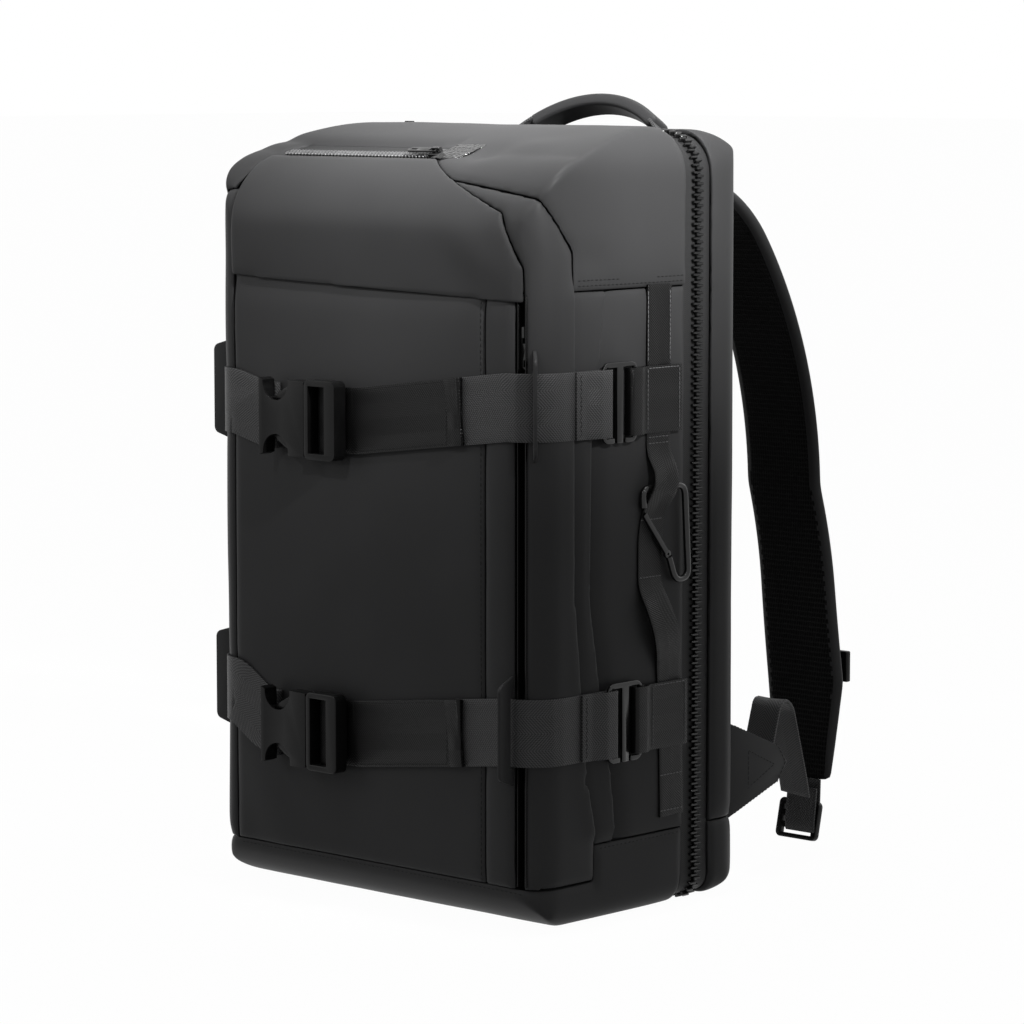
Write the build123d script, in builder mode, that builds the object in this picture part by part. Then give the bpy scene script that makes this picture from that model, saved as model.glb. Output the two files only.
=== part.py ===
"""Travel backpack as separate sewn panels, zips, webbing, moulded hardware and padding.

Millimetres. +Z is up, the front faces -Y, +X is to the right of someone looking at the front.
The origin is the middle of the base, on the surface that the bag stands on.
"""
import math
import os

from build123d import *

# Bag body
WIDTH = 300.0
DEPTH = 210.0
HEIGHT = 517.0
WALL = 4.0                    # laminated fabric, foam and lining
CORNER_R = 24.0               # upright corners in plan
SHOULDER_R = 30.0             # top corners seen from the front
HEM_R = 16.0                  # bottom corners seen from the front
HALF_W = WIDTH / 2
FRONT_Y = -DEPTH / 2
BACK_Y = DEPTH / 2

# Panel seams
HOOD_Z = 417.0                # lower edge of the hood and of the side yokes
BASE_FRONT_Z = 28.0           # piping round the front of the base
BASE_SIDE_Z = 52.0            # piping round the sides of the base
SEAM_X = 105.0                # stitched seam beside the front pocket's zip
RECESS_X = 131.0              # recess that holds the front pocket's zip
RECESS_W = 8.0
GUSSET_Y = -69.0
PLEAT_Y = -41.0
BACK_SEAM_Y = 97.0

# Main zip, which lets the front half swing open like a book
ZIP_Y = 55.0
ZIP_GAP = 14.0                # from the zip's middle to the edge of each panel
ZIP_END_X = -140.0            # where the zip stops and the fabric hinge begins
HINGE_GAP = 0.2               # half the gap between the two halves at the hinge
TAPE_INSET = 3.2
TAPE_T = 1.2
TOOTH_PITCH = 4.8
TOOTH_L = 2.1                 # along the chain
TOOTH_W = 5.6                 # across the chain
TOOTH_H = 3.0
TOOTH_MESH = 1.1              # how far a tooth reaches past the zip's middle
SLIDER_L = 18.0
SLIDER_START_X = -118.0
FRONT_TEETH_START_X = -104.0  # the front row stops short of the parked slider

# Compression straps
WEB_T = 1.5
WEB_H = 44.0
STRAPS = {                    # buckle height, right side height, left side height, hook edge
    "upper": {"buckle_z": 324.0, "right_z": 341.0, "left_z": 331.0, "hook_y": -46.0},
    "lower": {"buckle_z": 114.5, "right_z": 131.0, "left_z": 132.0, "hook_y": -40.0},
}
BUCKLE_H = 52.0
BUCKLE_T = 11.0
FEMALE_X0, FEMALE_X1 = -86.0, -44.0
MALE_X1 = -15.0
TAIL_END_X = 88.0

# Side webbing
DAISY_Y = 12.0
DAISY_W = 24.0
DAISY_T = 1.6

# Shoulder straps
PAD_T = 11.0
STRAP_TOP_X = 62.0
STRAP_LOW_X = 104.0

os.makedirs("parts", exist_ok=True)


def save(built, label):
    """Label a finished piece and write its STEP file."""
    built.part.label = label
    export_step(built.part, f"parts/{label}.step")


def envelope(inset):
    """The bag's outer form, moved inwards: side profile, plan and front outline intersected."""
    proud = FRONT_Y - 1.5     # the front is cut flat by the plan
    with BuildPart() as form:
        with BuildSketch(Plane.YZ):
            with BuildLine():
                base = Line((-60, inset), (66, inset))
                heel = ThreePointArc(base @ 1, (93.6 - 0.7 * inset, 11.4 + 0.7 * inset),
                                     (BACK_Y - inset, 39))
                back = Line(heel @ 1, (BACK_Y - inset, 477))
                nape = ThreePointArc(back @ 1, (93.9 - 0.7 * inset, 504.6 - 0.7 * inset),
                                     (67, 516 - inset))
                crest = Line(nape @ 1, (38, 516 - inset))
                ridge = ThreePointArc(crest @ 1, (-11, 511.4 - inset),
                                      (-60 + 0.3 * inset, 497 - 0.95 * inset))
                brow = ThreePointArc(ridge @ 1, (-90 + 0.7 * inset, 482 - 0.7 * inset),
                                     (proud + inset, 446))
                front = Line(brow @ 1, (proud + inset, 32))
                ThreePointArc(front @ 1, (-95 + 0.7 * inset, 13 + 0.7 * inset), base @ 0)
            make_face()
        extrude(amount=HALF_W - inset, both=True)
        with BuildSketch(Plane.XY):
            RectangleRounded(WIDTH - 2 * inset, DEPTH - 2 * inset, CORNER_R - inset)
        extrude(amount=2 * HEIGHT, mode=Mode.INTERSECT)
        with BuildSketch(Plane.XZ):
            with BuildLine():
                x = HALF_W - inset
                top = HEIGHT - inset
                crown = Line((SHOULDER_R - HALF_W, top), (HALF_W - SHOULDER_R, top))
                shoulder_r = RadiusArc(crown @ 1, (x, HEIGHT - SHOULDER_R), SHOULDER_R - inset)
                right = Line(shoulder_r @ 1, (x, HEM_R))
                hem_r = RadiusArc(right @ 1, (HALF_W - HEM_R, inset), HEM_R - inset)
                under = Line(hem_r @ 1, (HEM_R - HALF_W, inset))
                hem_l = RadiusArc(under @ 1, (-x, HEM_R), HEM_R - inset)
                left = Line(hem_l @ 1, (-x, HEIGHT - SHOULDER_R))
                RadiusArc(left @ 1, crown @ 0, SHOULDER_R - inset)
            make_face()
        extrude(amount=DEPTH, both=True, mode=Mode.INTERSECT)
    return form.part


def block(x0, x1, y0, y1, z0, z1, mode=Mode.ADD):
    """A plain box between two corners, in whichever part is being built."""
    with Locations((x0, y0, z0)):
        return Box(x1 - x0, y1 - y0, z1 - z0, align=(Align.MIN,) * 3, mode=mode)


FAR = 400.0                   # beyond the bag on every side
outer = envelope(0)
with BuildPart() as skin_form:
    add(outer)
    add(envelope(WALL), mode=Mode.SUBTRACT)
    block(ZIP_END_X, FAR, ZIP_Y - ZIP_GAP, ZIP_Y + ZIP_GAP, -FAR, 2 * FAR, Mode.SUBTRACT)
skin = skin_form.part


def panel(*regions):
    """The stretches of the bag's skin inside the given boxes, as one sewn panel."""
    with BuildPart() as cloth:
        for region in regions:
            block(*region)
        add(skin, mode=Mode.INTERSECT)
    return cloth


HINGE_FRONT = ZIP_Y - HINGE_GAP
HINGE_BACK = ZIP_Y + HINGE_GAP
save(panel((-RECESS_X, SEAM_X, -FAR, -60, BASE_FRONT_Z, HOOD_Z)), "front_panel")
save(panel((SEAM_X, RECESS_X, -FAR, -60, BASE_FRONT_Z, HOOD_Z)), "zip_placket")
save(panel((-FAR, FAR, -FAR, GUSSET_Y, -FAR, BASE_FRONT_Z),
           (-FAR, FAR, GUSSET_Y, HINGE_FRONT, -FAR, BASE_SIDE_Z)), "base_panel_front")
for side, x0, x1 in (("left", -FAR, -RECESS_X), ("right", RECESS_X, FAR)):
    edge = RECESS_X + RECESS_W if side == "right" else x0
    save(panel((edge, x1, -FAR, GUSSET_Y, BASE_FRONT_Z, HOOD_Z),
               (x0, x1, -FAR, GUSSET_Y, HOOD_Z, 2 * FAR)), f"corner_gusset_{side}")
    save(panel((x0, x1, GUSSET_Y, PLEAT_Y, BASE_SIDE_Z, HOOD_Z)), f"pleat_{side}")
    save(panel((x0, x1, PLEAT_Y, HINGE_FRONT, BASE_SIDE_Z, HOOD_Z)), f"side_panel_{side}")
    save(panel((x0, x1, GUSSET_Y, HINGE_FRONT, HOOD_Z, 2 * FAR)), f"yoke_{side}")
save(panel((-FAR, FAR, HINGE_BACK, BACK_SEAM_Y, BASE_SIDE_Z, 2 * FAR)), "back_gusset")
save(panel((-FAR, FAR, BACK_SEAM_Y, FAR, BASE_SIDE_Z, 2 * FAR)), "back_panel")
save(panel((-FAR, FAR, HINGE_BACK, FAR, -FAR, BASE_SIDE_Z)), "base_panel_back")


# ---- Zips ------------------------------------------------------------------------------------

def tape(y0, y1):
    """One woven tape of the main zip, seated between the panels and following the outline."""
    with BuildPart() as strip:
        block(ZIP_END_X, FAR, y0, y1, -FAR, 2 * FAR)
        add(envelope(TAPE_INSET), mode=Mode.INTERSECT)
        add(envelope(TAPE_INSET + TAPE_T), mode=Mode.SUBTRACT)
    return strip


def teeth(line, first, pitch, side, wanted):
    """Moulded teeth along a wire, on one side of it, wherever the wanted test holds."""
    spots = []
    for n in range(int(line.length / pitch + 0.5)):
        along = (n + first) * pitch / line.length
        point, run = line.position_at(along), line.tangent_at(along)
        if wanted(point):
            up = Vector(0, side, 0).cross(run) * side
            if up.Z * (point.Z - HEIGHT / 2) + up.X * point.X < 0:
                up = -up
            middle = point + Vector(0, side * (TOOTH_W / 2 - TOOTH_MESH), 0)
            spots.append(Location(Plane(origin=middle, x_dir=run, z_dir=up)))
    with BuildPart() as row:
        with Locations(*spots):
            Box(TOOTH_L, TOOTH_W, TOOTH_H, align=(Align.CENTER, Align.CENTER, Align.MIN))
    return row


save(tape(ZIP_Y - ZIP_GAP, ZIP_Y - HINGE_GAP), "main_zip_tape_front")
save(tape(ZIP_Y + HINGE_GAP, ZIP_Y + ZIP_GAP), "main_zip_tape_back")
cut = section(envelope(TAPE_INSET), section_by=Plane.XZ.offset(-ZIP_Y), mode=Mode.PRIVATE)
chain_line = cut.faces()[0].outer_wire()
tooth_pitch = chain_line.length / round(chain_line.length / TOOTH_PITCH)
END_CLEAR = 8.0               # the chain stops this far before the end of the tape
save(teeth(chain_line, 0.5, tooth_pitch, -1,
           lambda p: p.X > (FRONT_TEETH_START_X if p.Z > HEIGHT / 2 else ZIP_END_X + END_CLEAR)),
     "main_zip_teeth_front")
save(teeth(chain_line, 0.0, tooth_pitch, 1, lambda p: p.X > ZIP_END_X + END_CLEAR),
     "main_zip_teeth_back")


def zip_hardware(label, seat, chain_w, reach, length, pull_l, pull_w):
    """A slider that saddles a chain, and its pull. The seat lies on the tape, x along the chain.

    reach is the height of the channel over the tape. Returns the height of the pull's axis.
    """
    cheek, roof, lift = 1.2, 1.6, 0.35
    arch_w, arch_t, pin_r, play = 2.4, 1.1, 0.7, 0.35
    across = Plane(origin=seat.from_local_coords((-length / 2, 0, 0)), x_dir=seat.y_dir,
                   z_dir=seat.x_dir)
    with BuildPart() as slider:
        with BuildSketch(across):
            with Locations((0, lift)):
                Rectangle(chain_w + 2 * play + 2 * cheek, reach + roof - lift,
                          align=(Align.CENTER, Align.MIN))
                Rectangle(chain_w + 2 * play, reach - lift, align=(Align.CENTER, Align.MIN),
                          mode=Mode.SUBTRACT)
        extrude(amount=length)
        with BuildSketch(seat):
            RectangleRounded(length, chain_w + 2 * play + 2 * cheek, 1.8)
        extrude(amount=reach + roof, mode=Mode.INTERSECT)
        along = Plane(origin=seat.from_local_coords((0, 0, reach + roof)), x_dir=seat.x_dir,
                      z_dir=-seat.y_dir)
        with BuildSketch(along):
            with BuildLine():
                Polyline((-4.6, 0), (-3.4, 3.2), (3.4, 3.2), (4.6, 0), close=True)
            make_face()
            with BuildLine():
                Polyline((-3.2, 0), (-2.6, 2.1), (2.6, 2.1), (3.2, 0), close=True)
            make_face(mode=Mode.SUBTRACT)
        extrude(amount=arch_w / 2, both=True)
    save(slider, f"{label}_slider")
    axis = reach + roof + arch_t
    ring = 6.4
    with BuildPart() as tab:
        with BuildSketch(Plane(origin=seat.from_local_coords((0, 0, axis - pin_r)),
                               x_dir=seat.x_dir, z_dir=seat.z_dir)):
            with BuildLine():
                neck = Line((-pin_r, -2.6), (-pin_r, 2.6))
                shoulder = Line(neck @ 1, (ring + 2, pull_w / 2))
                edge = Line(shoulder @ 1, (pull_l - pull_w / 2, pull_w / 2))
                tip = ThreePointArc(edge @ 1, (pull_l, 0), (pull_l - pull_w / 2, -pull_w / 2))
                other = Line(tip @ 1, (ring + 2, -pull_w / 2))
                Line(other @ 1, neck @ 0)
            make_face()
            with Locations((pin_r + ring / 2, 0)):
                Rectangle(ring, arch_w + 1.2, mode=Mode.SUBTRACT)
            with Locations((pull_l - pull_w * 0.8, 0)):
                Rectangle(pull_w * 0.9, pull_w * 0.3, mode=Mode.SUBTRACT)
        extrude(amount=2 * pin_r)
    save(tab, f"{label}_pull")
    return axis


TOP_OF_TAPE = 512.8           # under the parked main slider
main_seat = Plane(origin=(SLIDER_START_X, ZIP_Y, TOP_OF_TAPE), x_dir=(1, 0, 0), z_dir=(0, 0, 1))
zip_hardware("main_zip", main_seat, 2 * (TOOTH_W - TOOTH_MESH), 4.6, SLIDER_L, 30, 8)

# Top pocket zip, on the slope above the hood's front
TOP_ZIP_Y = -53.0
TOP_ZIP_Z = 499.7
TOP_ZIP_SLOPE = 20.3
TOP_ZIP_X0, TOP_ZIP_X1 = -128.0, 44.0
TOP_ZIP_W = 22.0
TOP_TOOTH_PITCH = 4.0
slope = math.radians(TOP_ZIP_SLOPE)
top_zip_x = (TOP_ZIP_X0 + TOP_ZIP_X1) / 2
top_seat = Plane(origin=(top_zip_x, TOP_ZIP_Y, TOP_ZIP_Z - 2.2), x_dir=(1, 0, 0),
                 z_dir=(0, -math.sin(slope), math.cos(slope)))
with BuildPart() as hood:
    add(panel((-RECESS_X, RECESS_X, -FAR, HINGE_FRONT, HOOD_Z, 2 * FAR)).part)
    with BuildSketch(top_seat.offset(-TAPE_T)):
        RectangleRounded(TOP_ZIP_X1 - TOP_ZIP_X0, TOP_ZIP_W, 3)
    extrude(amount=20, mode=Mode.SUBTRACT)
save(hood, "hood")
with BuildPart() as top_zip_tape:
    with BuildSketch(top_seat.offset(-TAPE_T)):
        RectangleRounded(TOP_ZIP_X1 - TOP_ZIP_X0, TOP_ZIP_W, 3)
    extrude(amount=TAPE_T)
save(top_zip_tape, "top_zip_tape")
top_count = int((TOP_ZIP_X1 - TOP_ZIP_X0 - 16) / TOP_TOOTH_PITCH)
with BuildPart() as top_zip_teeth:
    for side in (-1, 1):
        with BuildSketch(top_seat):
            with Locations((side * TOP_TOOTH_PITCH / 4, side * 1.5)):
                with GridLocations(TOP_TOOTH_PITCH, 1, top_count, 1):
                    Rectangle(1.5, 4.0)
        extrude(amount=1.7)
save(top_zip_teeth, "top_zip_teeth")
top_slider_seat = Plane(origin=top_seat.from_local_coords((57, 0, 0)), x_dir=(-1, 0, 0),
                        z_dir=top_seat.z_dir)
zip_hardware("top_zip", top_slider_seat, 7.0, 2.3, 11, 26, 6.5)

# Front pocket zip, in the recess at the right-hand corner
ZIP_FLOOR_Y = -94.0           # deep enough for the slider to pass under the straps
FRONT_SLIDER_Z = 389.0
with BuildPart() as front_zip_chain:
    x0, x1 = RECESS_X, RECESS_X + RECESS_W
    block(x0, x1, ZIP_FLOOR_Y, ZIP_FLOOR_Y + 1.2, BASE_FRONT_Z, HOOD_Z)
    block(x0, x0 + 0.8, FRONT_Y + WALL + 0.2, ZIP_FLOOR_Y, BASE_FRONT_Z, HOOD_Z)
    block(x1 - 0.8, x1, FRONT_Y + WALL + 1.6, ZIP_FLOOR_Y, BASE_FRONT_Z, HOOD_Z)
    with BuildSketch(Plane.XY.offset(BASE_FRONT_Z + 6)):
        with Locations(((x0 + x1) / 2, ZIP_FLOOR_Y - 0.6)):
            RectangleRounded(3.0, 1.4, 0.6)
    extrude(amount=HOOD_Z - BASE_FRONT_Z - 12)
save(front_zip_chain, "front_zip_chain")
front_slider_seat = Plane(origin=(RECESS_X + RECESS_W / 2, ZIP_FLOOR_Y, FRONT_SLIDER_Z),
                          x_dir=(0, 0, -1), z_dir=(0, -1, 0))
zip_hardware("front_zip", front_slider_seat, 3.0, 1.8, 9, 24, 5)


# ---- Compression straps and their hardware -----------------------------------------------------

CORNER_Y = FRONT_Y + CORNER_R     # centre of the rounded corners in plan
CORNER_X = HALF_W - CORNER_R


def front_run(x0, z0, x1, z1, near_y, thickness=WEB_T):
    """A flat length of webbing across the front, whose height changes from z0 to z1."""
    half = WEB_H / 2
    with BuildPart() as run:
        with BuildSketch(Plane.XZ.offset(-near_y)):
            Polygon((x0, z0 - half), (x1, z1 - half), (x1, z1 + half), (x0, z0 + half),
                    align=None)
        extrude(amount=thickness)
    return run.part


def corner_run(x, z):
    """A quarter turn of webbing round one of the front corners."""
    with BuildPart() as turn:
        with BuildSketch(Plane.XY.offset(z - WEB_H / 2)):
            with Locations((x, CORNER_Y)):
                Circle(CORNER_R + WEB_T)
                Circle(CORNER_R, mode=Mode.SUBTRACT)
            with Locations((x + math.copysign(HALF_W / 2, x), CORNER_Y - HALF_W / 2)):
                Rectangle(HALF_W, HALF_W, mode=Mode.INTERSECT)
        extrude(amount=WEB_H)
    return turn.part


def web_profile(points, z):
    """Webbing on edge, following a path in plan."""
    with BuildPart() as web:
        with BuildSketch(Plane.XY.offset(z - WEB_H / 2)):
            with BuildLine():
                Polyline(*points)
            trace(line_width=WEB_T)
        extrude(amount=WEB_H)
    return web.part


HOOK_W = 34.0
HOOK_H = 53.0
HOOK_T = 2.4
HOOK_BAR = 4.0
HOOK_X = HALF_W + 2.8         # underside of the hooks
HOOK_ROOM = 2.0               # from a hook's face to the middle of the webbing over it
PATCH_END = {"upper": 33.0, "lower": 40.0}
SEWN_LAP = 24.0               # where the strap's end is sewn back on itself

for level, at in STRAPS.items():
    bz, rz, lz, hook_y = at["buckle_z"], at["right_z"], at["left_z"], at["hook_y"]
    skim = FRONT_Y - WEB_T / 2

    with BuildPart() as strap_left:
        block(-HALF_W - WEB_T, -HALF_W, CORNER_Y, -22, lz - WEB_H / 2, lz + WEB_H / 2)
        add(corner_run(-CORNER_X, lz))
        add(front_run(-CORNER_X, lz, -98, bz, FRONT_Y))
        add(front_run(-98, bz, -80, bz, FRONT_Y))
        block(-81.5, -80, FRONT_Y - 7, FRONT_Y, bz - WEB_H / 2, bz + WEB_H / 2)
    save(strap_left, f"strap_left_{level}")

    with BuildPart() as strap_right:
        add(web_profile(((-10, skim), (-37.8, skim), (-37.8, FRONT_Y - 8.6),
                         (-26.8, FRONT_Y - 8.6), (-26.8, skim - WEB_T - 0.1),
                         (-10, skim - WEB_T - 0.1)), bz))
        add(front_run(-10.5, bz, CORNER_X, rz, FRONT_Y))
        slope_z = (rz - bz) / (CORNER_X + 10.5)
        tail_z = bz + slope_z * (TAIL_END_X + 10.5)
        hem_z = tail_z - slope_z * 10
        add(front_run(-10.5, bz, TAIL_END_X, tail_z, FRONT_Y - WEB_T - 0.1))
        add(front_run(TAIL_END_X - 10, hem_z, TAIL_END_X, tail_z, FRONT_Y - 2 * WEB_T - 0.1))
        add(corner_run(CORNER_X, rz))
        near = HALF_W + WEB_T / 2
        far = HOOK_X + HOOK_T + HOOK_ROOM
        add(web_profile(((near, CORNER_Y), (near, hook_y + 5.6), (near + 1, hook_y + 6.8),
                         (far - 1, hook_y + 6.8), (far, hook_y + 5.6), (far, hook_y - 4),
                         (near + WEB_T + 0.1, hook_y - 14),
                         (near + WEB_T + 0.1, hook_y - SEWN_LAP)), rz))
    save(strap_right, f"strap_right_{level}")

    with BuildPart() as hook:
        hook_plane = Plane(origin=(HOOK_X, hook_y, rz), x_dir=(0, 1, 0), z_dir=(1, 0, 0))
        with BuildSketch(hook_plane):
            with Locations((HOOK_W / 2, 0)):
                RectangleRounded(HOOK_W, HOOK_H, 6.5)
            window_w = (HOOK_W - 3 * HOOK_BAR - 2) / 2
            for middle in (HOOK_BAR + window_w / 2, HOOK_W - HOOK_BAR - window_w / 2):
                with Locations((middle, 0)):
                    Rectangle(window_w, HOOK_H - 7, mode=Mode.SUBTRACT)
            gap = 2.2
            for middle in (HOOK_W / 2 - 3 - gap / 2, HOOK_W / 2 + 3 + gap / 2):
                with Locations((middle, -HOOK_H / 2)):
                    Rectangle(gap, 12, mode=Mode.SUBTRACT)
        extrude(amount=HOOK_T)
    save(hook, f"strap_hook_{level}")

    with BuildPart() as hook_loop:
        eye = hook_y + HOOK_W
        add(web_profile(((near, -0.6), (near, eye - 6.6), (near + 1, eye - 7.8),
                         (far - 1, eye - 7.8), (far, eye - 6.6), (far, eye + 1),
                         (near + DAISY_T, eye + 8), (near + DAISY_T, PATCH_END[level])), rz))
    save(hook_loop, f"hook_loop_{level}")

    # Side-release buckle. The female half is a hollow shell, the male half a slotted frame with
    # a tongue, and its two latch arms flex inwards when they are squeezed.
    back_y = FRONT_Y - 6.2
    front_y = back_y - BUCKLE_T
    with BuildPart() as female:
        with BuildSketch(Plane.XZ.offset(-back_y)):
            with BuildLine():
                h, x0, x1 = BUCKLE_H / 2, FEMALE_X0, FEMALE_X1
                top = Line((x1, h - 1), (x0 + 27, h - 0.5))
                bay = ThreePointArc(top @ 1, (x0 + 19, h - 14), (x0 + 3, h - 1.5))
                horn = Line(bay @ 1, (x0 - 1, h))
                waist = Line(horn @ 1, (x0 - 1, -h))
                horn_low = Line(waist @ 1, (x0 + 3, 1.5 - h))
                bay_low = ThreePointArc(horn_low @ 1, (x0 + 19, 14 - h), (x0 + 27, 0.5 - h))
                under = Line(bay_low @ 1, (x1, 1 - h))
                Line(under @ 1, top @ 0)
            make_face()
        extrude(amount=BUCKLE_T)
        mouth = 7.0
        block(x0 + 9.5, x1 + 1, back_y - BUCKLE_T / 2 - mouth / 2, back_y - BUCKLE_T / 2 + mouth / 2,
              3 - h, h - 3, Mode.SUBTRACT)
        block(x0 + 4, x0 + 8, back_y - BUCKLE_T + 2, FAR, -23, 23, Mode.SUBTRACT)
    with BuildPart() as buckle_female:
        add(female.part.moved(Location((0, 0, bz))))
    save(buckle_female, f"buckle_female_{level}")

    middle_y = back_y - BUCKLE_T / 2
    with BuildPart() as male:
        with BuildSketch(Plane.XZ.offset(-back_y)):
            with Locations(((FEMALE_X1 + 0.3 + MALE_X1) / 2, 0)):
                RectangleRounded(MALE_X1 - FEMALE_X1 - 0.3, BUCKLE_H + 1, 4.5)
            for slot_x in (-37.8, -26.8):
                with Locations((slot_x, 0)):
                    Rectangle(4.4, WEB_H + 1, mode=Mode.SUBTRACT)
            with Locations((-32.3, 0)):
                Rectangle(7, WEB_H + 1, mode=Mode.SUBTRACT)
        extrude(amount=BUCKLE_T)
        block(-34.8, -29.8, back_y - 1.6, back_y, -h + 2, h - 2)
        with BuildSketch(Plane.XZ.offset(-middle_y - 2)):
            with BuildLine():
                Polyline((FEMALE_X1 + 0.5, -6), (FEMALE_X1 - 24, -5), (FEMALE_X1 - 28, 0),
                         (FEMALE_X1 - 24, 5), (FEMALE_X1 + 0.5, 6), close=True)
            make_face()
        extrude(amount=4)
    with BuildPart() as buckle_male:
        add(male.part.moved(Location((0, 0, bz))))
    save(buckle_male, f"buckle_male_{level}")

    for side, sign in (("top", 1), ("bottom", -1)):
        with BuildPart() as arm:
            with BuildSketch(Plane.XZ.offset(-middle_y - 2.5)):
                with BuildLine():
                    tip_x = FEMALE_X0 + 11
                    stem = Line((FEMALE_X1 + 0.1, sign * 16), (FEMALE_X1 + 0.1, sign * 19))
                    outer_edge = ThreePointArc(stem @ 1, (FEMALE_X1 - 8, sign * 19.5),
                                               (FEMALE_X1 - 17, sign * 21.5))
                    shoulder = Line(outer_edge @ 1, (tip_x + 3, sign * 16))
                    tip = Line(shoulder @ 1, (tip_x, sign * 12))
                    inner = Line(tip @ 1, (tip_x + 8, sign * 12))
                    Line(inner @ 1, stem @ 0)
                make_face()
            extrude(amount=5)
        with BuildPart() as buckle_arm:
            add(arm.part.moved(Location((0, 0, bz))))
        save(buckle_arm, f"buckle_arm_{side}_{level}")


# ---- Guides, side webbing and carabiner -------------------------------------------------------

def guide(centre_x, angle_deg, z, reach, slot_h):
    """A slotted tab sewn into a corner seam, standing out from the bag. The strap runs through."""
    foot, tall, thin, slot_w = 72.0, 60.0, 2.2, 4.0
    lean = math.radians(angle_deg)
    standing = Plane(origin=(centre_x, CORNER_Y, z),
                     x_dir=(math.cos(lean), math.sin(lean), 0),
                     z_dir=(math.sin(lean), -math.cos(lean), 0))
    start = CORNER_R - 0.05
    with BuildPart() as tab:
        with BuildSketch(standing):
            Polygon((start, -foot / 2), (start + reach, -tall / 2), (start + reach, tall / 2),
                    (start, foot / 2), align=None)
            with Locations((start + slot_w / 2, 0)):
                Rectangle(slot_w, slot_h, mode=Mode.SUBTRACT)
        extrude(amount=thin / 2, both=True)
        fillet(tab.edges().filter_by(lambda e: abs(e.length - thin) < 0.01)
               .sort_by(lambda e: e.center().X ** 2 + (e.center().Y - CORNER_Y) ** 2)[-2:], 5)
    return tab.part


with BuildPart() as strap_guides:
    add(guide(-CORNER_X, 184, STRAPS["upper"]["left_z"] + 5, 21, 56))
    add(guide(-CORNER_X, 184, STRAPS["lower"]["left_z"] + 4, 21, 56))
    add(guide(CORNER_X, -45, STRAPS["upper"]["right_z"] + 1, 17, 49))
    add(guide(CORNER_X, -80, STRAPS["lower"]["right_z"] + 1, 17, 49))
    add(outer, mode=Mode.SUBTRACT)
save(strap_guides, "strap_guides")

CARABINER_X = HALF_W + 4.3
CARABINER_Z = 283.0
WIRE_R = 2.3
with BuildPart() as daisy_chain:
    with BuildSketch(Plane.XZ.offset(-DAISY_Y + DAISY_W / 2)):
        with BuildLine():
            flat = HALF_W + DAISY_T / 2
            Polyline((flat, HOOD_Z), (flat, 303), (flat + 7.9, 289), (flat + 8.3, 279.5),
                     (flat + 7, 277.6), (flat, 276.4), (flat, 212), (flat + 6, 200),
                     (flat + 6, 178), (flat, 166), (flat, 60))
        trace(line_width=DAISY_T)
    extrude(amount=-DAISY_W)
save(daisy_chain, "daisy_chain")

wire_plane = Plane(origin=(CARABINER_X, 0, 0), x_dir=(0, 1, 0), z_dir=(1, 0, 0))
GATE_PIVOT = (18.5, 238.0)
GATE_TIP = (-4.5, 266.0)
with BuildLine() as wire:
    FilletPolyline((21.5, 232.0), (27, 219.5), (40, 221), (36, CARABINER_Z),
                   (-6, CARABINER_Z), (-5.2, 271.5), radius=6.5)
with BuildPart() as carabiner_body:
    with BuildSketch(wire_plane):
        trace(wire.line, line_width=2 * WIRE_R)
    extrude(amount=WIRE_R, both=True)
    for side in (-1, 1):
        with BuildSketch(wire_plane.offset(side * 1.3)):
            with BuildLine():
                cheek = Line((23.0, 228.6), GATE_PIVOT)
            trace(cheek, line_width=4.0)
            with Locations(GATE_PIVOT):
                RegularPolygon(3.0, 8)
        extrude(amount=side * 1.0)
    with BuildSketch(wire_plane):
        with Locations(GATE_PIVOT):
            Circle(0.8)
    extrude(amount=2.3, both=True)
save(carabiner_body, "carabiner_body")

with BuildPart() as carabiner_gate:
    with BuildSketch(wire_plane):
        with BuildLine():
            rod = Line(GATE_PIVOT, GATE_TIP)
        trace(rod, line_width=3.4)
        with Locations(GATE_PIVOT):
            RegularPolygon(2.8, 8)
            Circle(0.85, mode=Mode.SUBTRACT)
    extrude(amount=1.05, both=True)
save(carabiner_gate, "carabiner_gate")

# ---- Back half: padding, stiffener, sleeve, handle and shoulder straps -------------------------

with BuildPart() as back_pad:
    with BuildSketch(Plane.XZ.offset(-BACK_Y)):
        for x in (-66, 66):
            with Locations((x, 245)):
                RectangleRounded(104, 380, 24)
        with Locations((0, 92)):
            Rectangle(60, 52)
        with Locations((0, 398)):
            Rectangle(60, 52)
    extrude(amount=-9)
save(back_pad, "back_pad")

SHEET_T = 1.6
sheet_y = BACK_Y - WALL
with BuildPart() as frame_sheet:
    with BuildSketch(Plane.XZ.offset(-sheet_y)):
        with Locations((0, 262)):
            RectangleRounded(240, 400, 18)
    extrude(amount=SHEET_T)
save(frame_sheet, "frame_sheet")

SLEEVE_D = 26.0
with BuildPart() as laptop_sleeve:
    back = sheet_y - SHEET_T
    block(-116, 116, back - SLEEVE_D, back, 72, 330)
    block(-113, 113, back - SLEEVE_D + 3, back + 1, 75, 340, Mode.SUBTRACT)
save(laptop_sleeve, "laptop_sleeve")

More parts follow.
